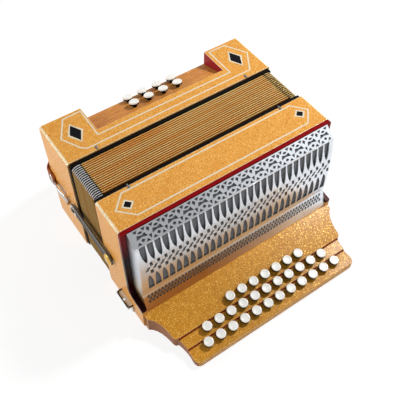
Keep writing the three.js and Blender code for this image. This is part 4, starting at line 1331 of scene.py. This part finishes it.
pin_steel = bright_metal("pin_steel", srgb(132, 130, 128), srgb(70, 68, 66), even_marks, 0.25, 0.45)
pin_profile = [(0, 1.1), (1.0, 1.0), (1.7, 0.6), (1.9, 0.2), (1.9, -0.4), (0, -0.4)]
rod_profile = [(0, 4.8), (0.6, 4.8), (0.9, 4.4), (0.9, 0), (0, 0)]
for end, places, way in (("treble", [(-110.9, -4.9), (115.2, -4.9)], 1),
                         ("bass", [(-111.6, 71.3), (115.7, 70.3)], -1)):
    pins = bmesh.new()
    for x, y in places:
        turned(pins, pin_profile, (x, y, box_height + 0.5), (0, 0, 1), 16)
        turned(pins, rod_profile, (x, y, box_height + 0.55), (0, way, 0.06), 10)
    as_piece(end + "_bellows_pins", pins, [pin_steel], end + "_end")


# Air key
# A spoon-shaped plate of nickel-plated brass under the left thumb, which turns on a pin
# between two ears and opens the air valve. It is domed along its length and across it.

key_low, key_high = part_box("air_key")
key_middle = (key_low.z + key_high.z) / 2 / mm
key_back = half_length + 3.4
key_from = key_low.y / mm + 2
key_to = key_high.y / mm
key_half_width = 6
key_bulge = 2.7
key_rows = 28
key_columns = 10


def key_point(along, across, under):
    """A point of the plate's outer or inner face."""
    tail = max(0.0, (along - 0.7) / 0.3)
    head = max(0.0, (0.16 - along) / 0.16)
    half = key_half_width * math.sqrt(max(1 - tail ** 2 * 0.86, 0.02)) * (1 - 0.25 * head ** 2)
    dome = 0.75 * (1 - across ** 2) * math.sin(math.pi * min(along * 1.15, 1))
    x = -key_back - key_bulge * math.sin(math.pi * along) - dome + (0.9 if under else -0.35)
    return Vector((x, key_from + (key_to - key_from) * along, key_middle + half * across)) * mm


air_key = bmesh.new()
grids = []
for under in (False, True):
    grids.append([[air_key.verts.new(key_point(i / key_rows, 2 * j / key_columns - 1, under))
                   for j in range(key_columns + 1)] for i in range(key_rows + 1)])
    bridge(air_key, grids[-1], False)
rim = [(i, 0) for i in range(key_rows)] + [(key_rows, j) for j in range(key_columns)]
rim += [(i, key_columns) for i in range(key_rows, 0, -1)] + [(0, j) for j in range(key_columns, 0, -1)]
bridge(air_key, [[grid[i][j] for i, j in rim] for grid in grids])
pivot = (-key_back, key_from, key_middle)
barrel = [(0, 5.8), (1.7, 5.8), (2.0, 5.4), (2.0, -5.4), (1.7, -5.8), (0, -5.8)]
turned(air_key, barrel, pivot, (0, 0, 1), 24)
pin_ends = [(0, 9.2), (0.8, 9.1), (1.1, 8.8), (1.1, -8.8), (0.8, -9.1), (0, -9.2)]
turned(air_key, pin_ends, pivot, (0, 0, 1), 16)
as_piece("air_key_shown", air_key, [nickel], "air_key", ["air_key"])


# Bellows straps
# A strap of dark leather on each end keeps the bellows shut. It is riveted to the bass box and
# closed over a stud on the treble box by a domed brass press cap.

dark_leather = leather("dark_strap_leather", srgb(26, 23, 21), srgb(70, 65, 60), 1300)
# Pale grey for the strap's rounded edges: a painted highlight where they catch the light.
pale_edge_leather = leather("cut_edge_leather", srgb(150, 143, 133), srgb(176, 170, 160), 1300)
brass = bright_metal("polished_brass", srgb(222, 178, 84), srgb(150, 112, 50), even_marks, 0.14, 0.35)
dark_metal = bright_metal("darkened_rivet", srgb(84, 78, 70), srgb(48, 42, 38), even_marks, 0.3, 0.5)
press_cap = [(0, 2.75), (2.4, 2.66), (4.7, 2.34), (6.6, 1.72), (7.9, 0.85), (8.45, 0.3), (8.5, -0.1),
             (8.1, -0.35), (7.9, -0.5), (0, -0.5)]
rivet_head = [(0, 1.75), (1.6, 1.65), (3.1, 1.25), (4.2, 0.6), (4.8, 0.05), (5.0, -0.2), (3.0, -0.4),
              (2.4, -2.8), (0, -3.3)]
stud_shape = [(0, 1.5), (2.6, 1.5), (3.2, 1.2), (3.3, 0.8), (4.6, 0.5), (4.95, 0.2), (4.95, 0.05), (0, 0.05)]
stitch = [(0, -1.15), (0.3, -0.8), (0.3, 0.8), (0, 1.15)]
stitch_pitch = 3.4
stitch_inset = 2.2
end_plate_length = 7
end_plate_sheet = 0.6
band_half = 9
band_sheet = 2.6
band_gap = 1.9


def tongue(y0, y1, half, middle, steps=14):
    """The outline of a strap with two round ends, in (y, z)."""
    points = []
    for i in range(steps + 1):
        angle = math.pi / 2 + math.pi * i / steps
        points.append((y0 + half * math.cos(angle), middle + half * math.sin(angle)))
    for i in range(steps + 1):
        angle = -math.pi / 2 + math.pi * i / steps
        points.append((y1 + half * math.cos(angle), middle + half * math.sin(angle)))
    return points


for name, side in (("left", -1), ("right", 1)):
    node = "bellows_strap_" + name
    low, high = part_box(node)
    middle = (low.z + high.z) / 2 / mm
    y0, y1 = low.y / mm + band_half, high.y / mm - band_half
    face_x = half_length + band_gap + band_sheet
    plate_x = side * (face_x + end_plate_sheet)
    out = Vector((side, 0, 0))
    band = bmesh.new()
    plate(band, [(side * face_x, y, z) for y, z in tongue(y0, y1, band_half, middle)], out, band_sheet)
    strip = as_piece(node + "_shown", band, [dark_leather, pale_edge_leather], node, [node])
    soften(strip, 0.7 * mm, 3)
    # The roundings take the pale grey, a painted highlight.
    strip.modifiers["rounded_edges"].material = 1
    sewn = bmesh.new()
    seam_line = tongue(y0, y1, band_half - stitch_inset, middle, 22)
    around = [Vector((side * (face_x + 0.02), y, z)) for y, z in seam_line + seam_line[:1]]
    dense = []
    for a, b in zip(around, around[1:]):
        parts = max(1, round((b - a).length / 0.8))
        dense += [a.lerp(b, i / parts) for i in range(parts)]
    stitches(sewn, dense, stitch_pitch, stitch)
    as_piece(node + "_thread", sewn, [thread], node)
    metal = bmesh.new()
    turned(metal, press_cap, (side * (face_x + 0.3), y0, middle), out, 36)
    turned(metal, rivet_head, (plate_x, y1, middle), out, 28, 1)
    as_piece(node + "_metal", metal, [brass, dark_metal], node)
    end_plate = bmesh.new()
    round_end = [(y, z) for y, z in tongue(y0, y1, band_half - 0.5, middle) if y >= y1 - 0.01]
    edge = [(y1 - end_plate_length, round_end[-1][1]), (y1 - end_plate_length, round_end[0][1])]
    plate(end_plate, [(plate_x, y, z) for y, z in round_end + edge], out, end_plate_sheet)
    soften(as_piece(node + "_end_plate", end_plate, [nickel], node), 0.25 * mm)
    stud = bmesh.new()
    turned(stud, stud_shape, (side * half_length, y0, middle), out, 32)
    as_piece("strap_stud_" + name + "_shown", stud, [brass], "treble_end", ["strap_stud_" + name])


# Shoulder strap brackets
# Small angle plates of nickel-plated steel, screwed low on both ends of the treble box, with
# a hole in the shelf, whose top is painted paler, a painted highlight. A loop of steel wire lies
# round the shelf and holds the strap's hook; it is near black, a painted shade along the shelf's edge.

# A paler nickel for the tops of the shelves: a painted highlight.
satin_nickel = bright_metal("satin_nickel", srgb(240, 236, 224), srgb(206, 198, 180), even_marks, 0.5, 0.7,
                            0.2)
# The wire is near black: a painted shade along the shelf's edge.
shade_wire_steel = bright_metal("dark_wire_steel", srgb(60, 54, 50), srgb(28, 24, 22), even_marks, 0.35, 0.55)
wire_radius = 0.9
wire_corner = 3.5
wire_reach = 8
wire_sides = 10
wire_in = half_length - 0.3
wire_out = half_length + wire_reach - wire_radius
wire_turns = [math.tau * i / wire_sides for i in range(wire_sides)]
wire_section = [(wire_radius * math.cos(turn), wire_radius * math.sin(turn)) for turn in wire_turns]
bend_turns = [math.pi / 2 * i / 6 for i in range(7)]
bend = [(wire_out - wire_corner * (1 - math.sin(turn)), wire_corner * (1 - math.cos(turn)))
        for turn in bend_turns]
for name, side in (("left", -1), ("right", 1)):
    node = "strap_bracket_" + name
    skin(node, [nickel, satin_nickel], 0.45 * mm, lambda centre, normal: 1 if normal.z > 0.9 else 0)
    low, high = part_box(node)
    y0, y1 = low.y / mm + wire_radius, high.y / mm - wire_radius
    wire_high = high.z / mm + wire_radius * 0.7
    line = [(wire_in, y0)] + [(x, y0 + y) for x, y in bend] + [(x, y1 - y) for x, y in reversed(bend)]
    loop_wire = bmesh.new()
    swept(loop_wire, [Vector((side * x, y, wire_high)) for x, y in line + [(wire_in, y1)]], 1,
          lambda share: wire_section)
    as_piece("strap_loop_" + name, loop_wire, [shade_wire_steel], "treble_end")
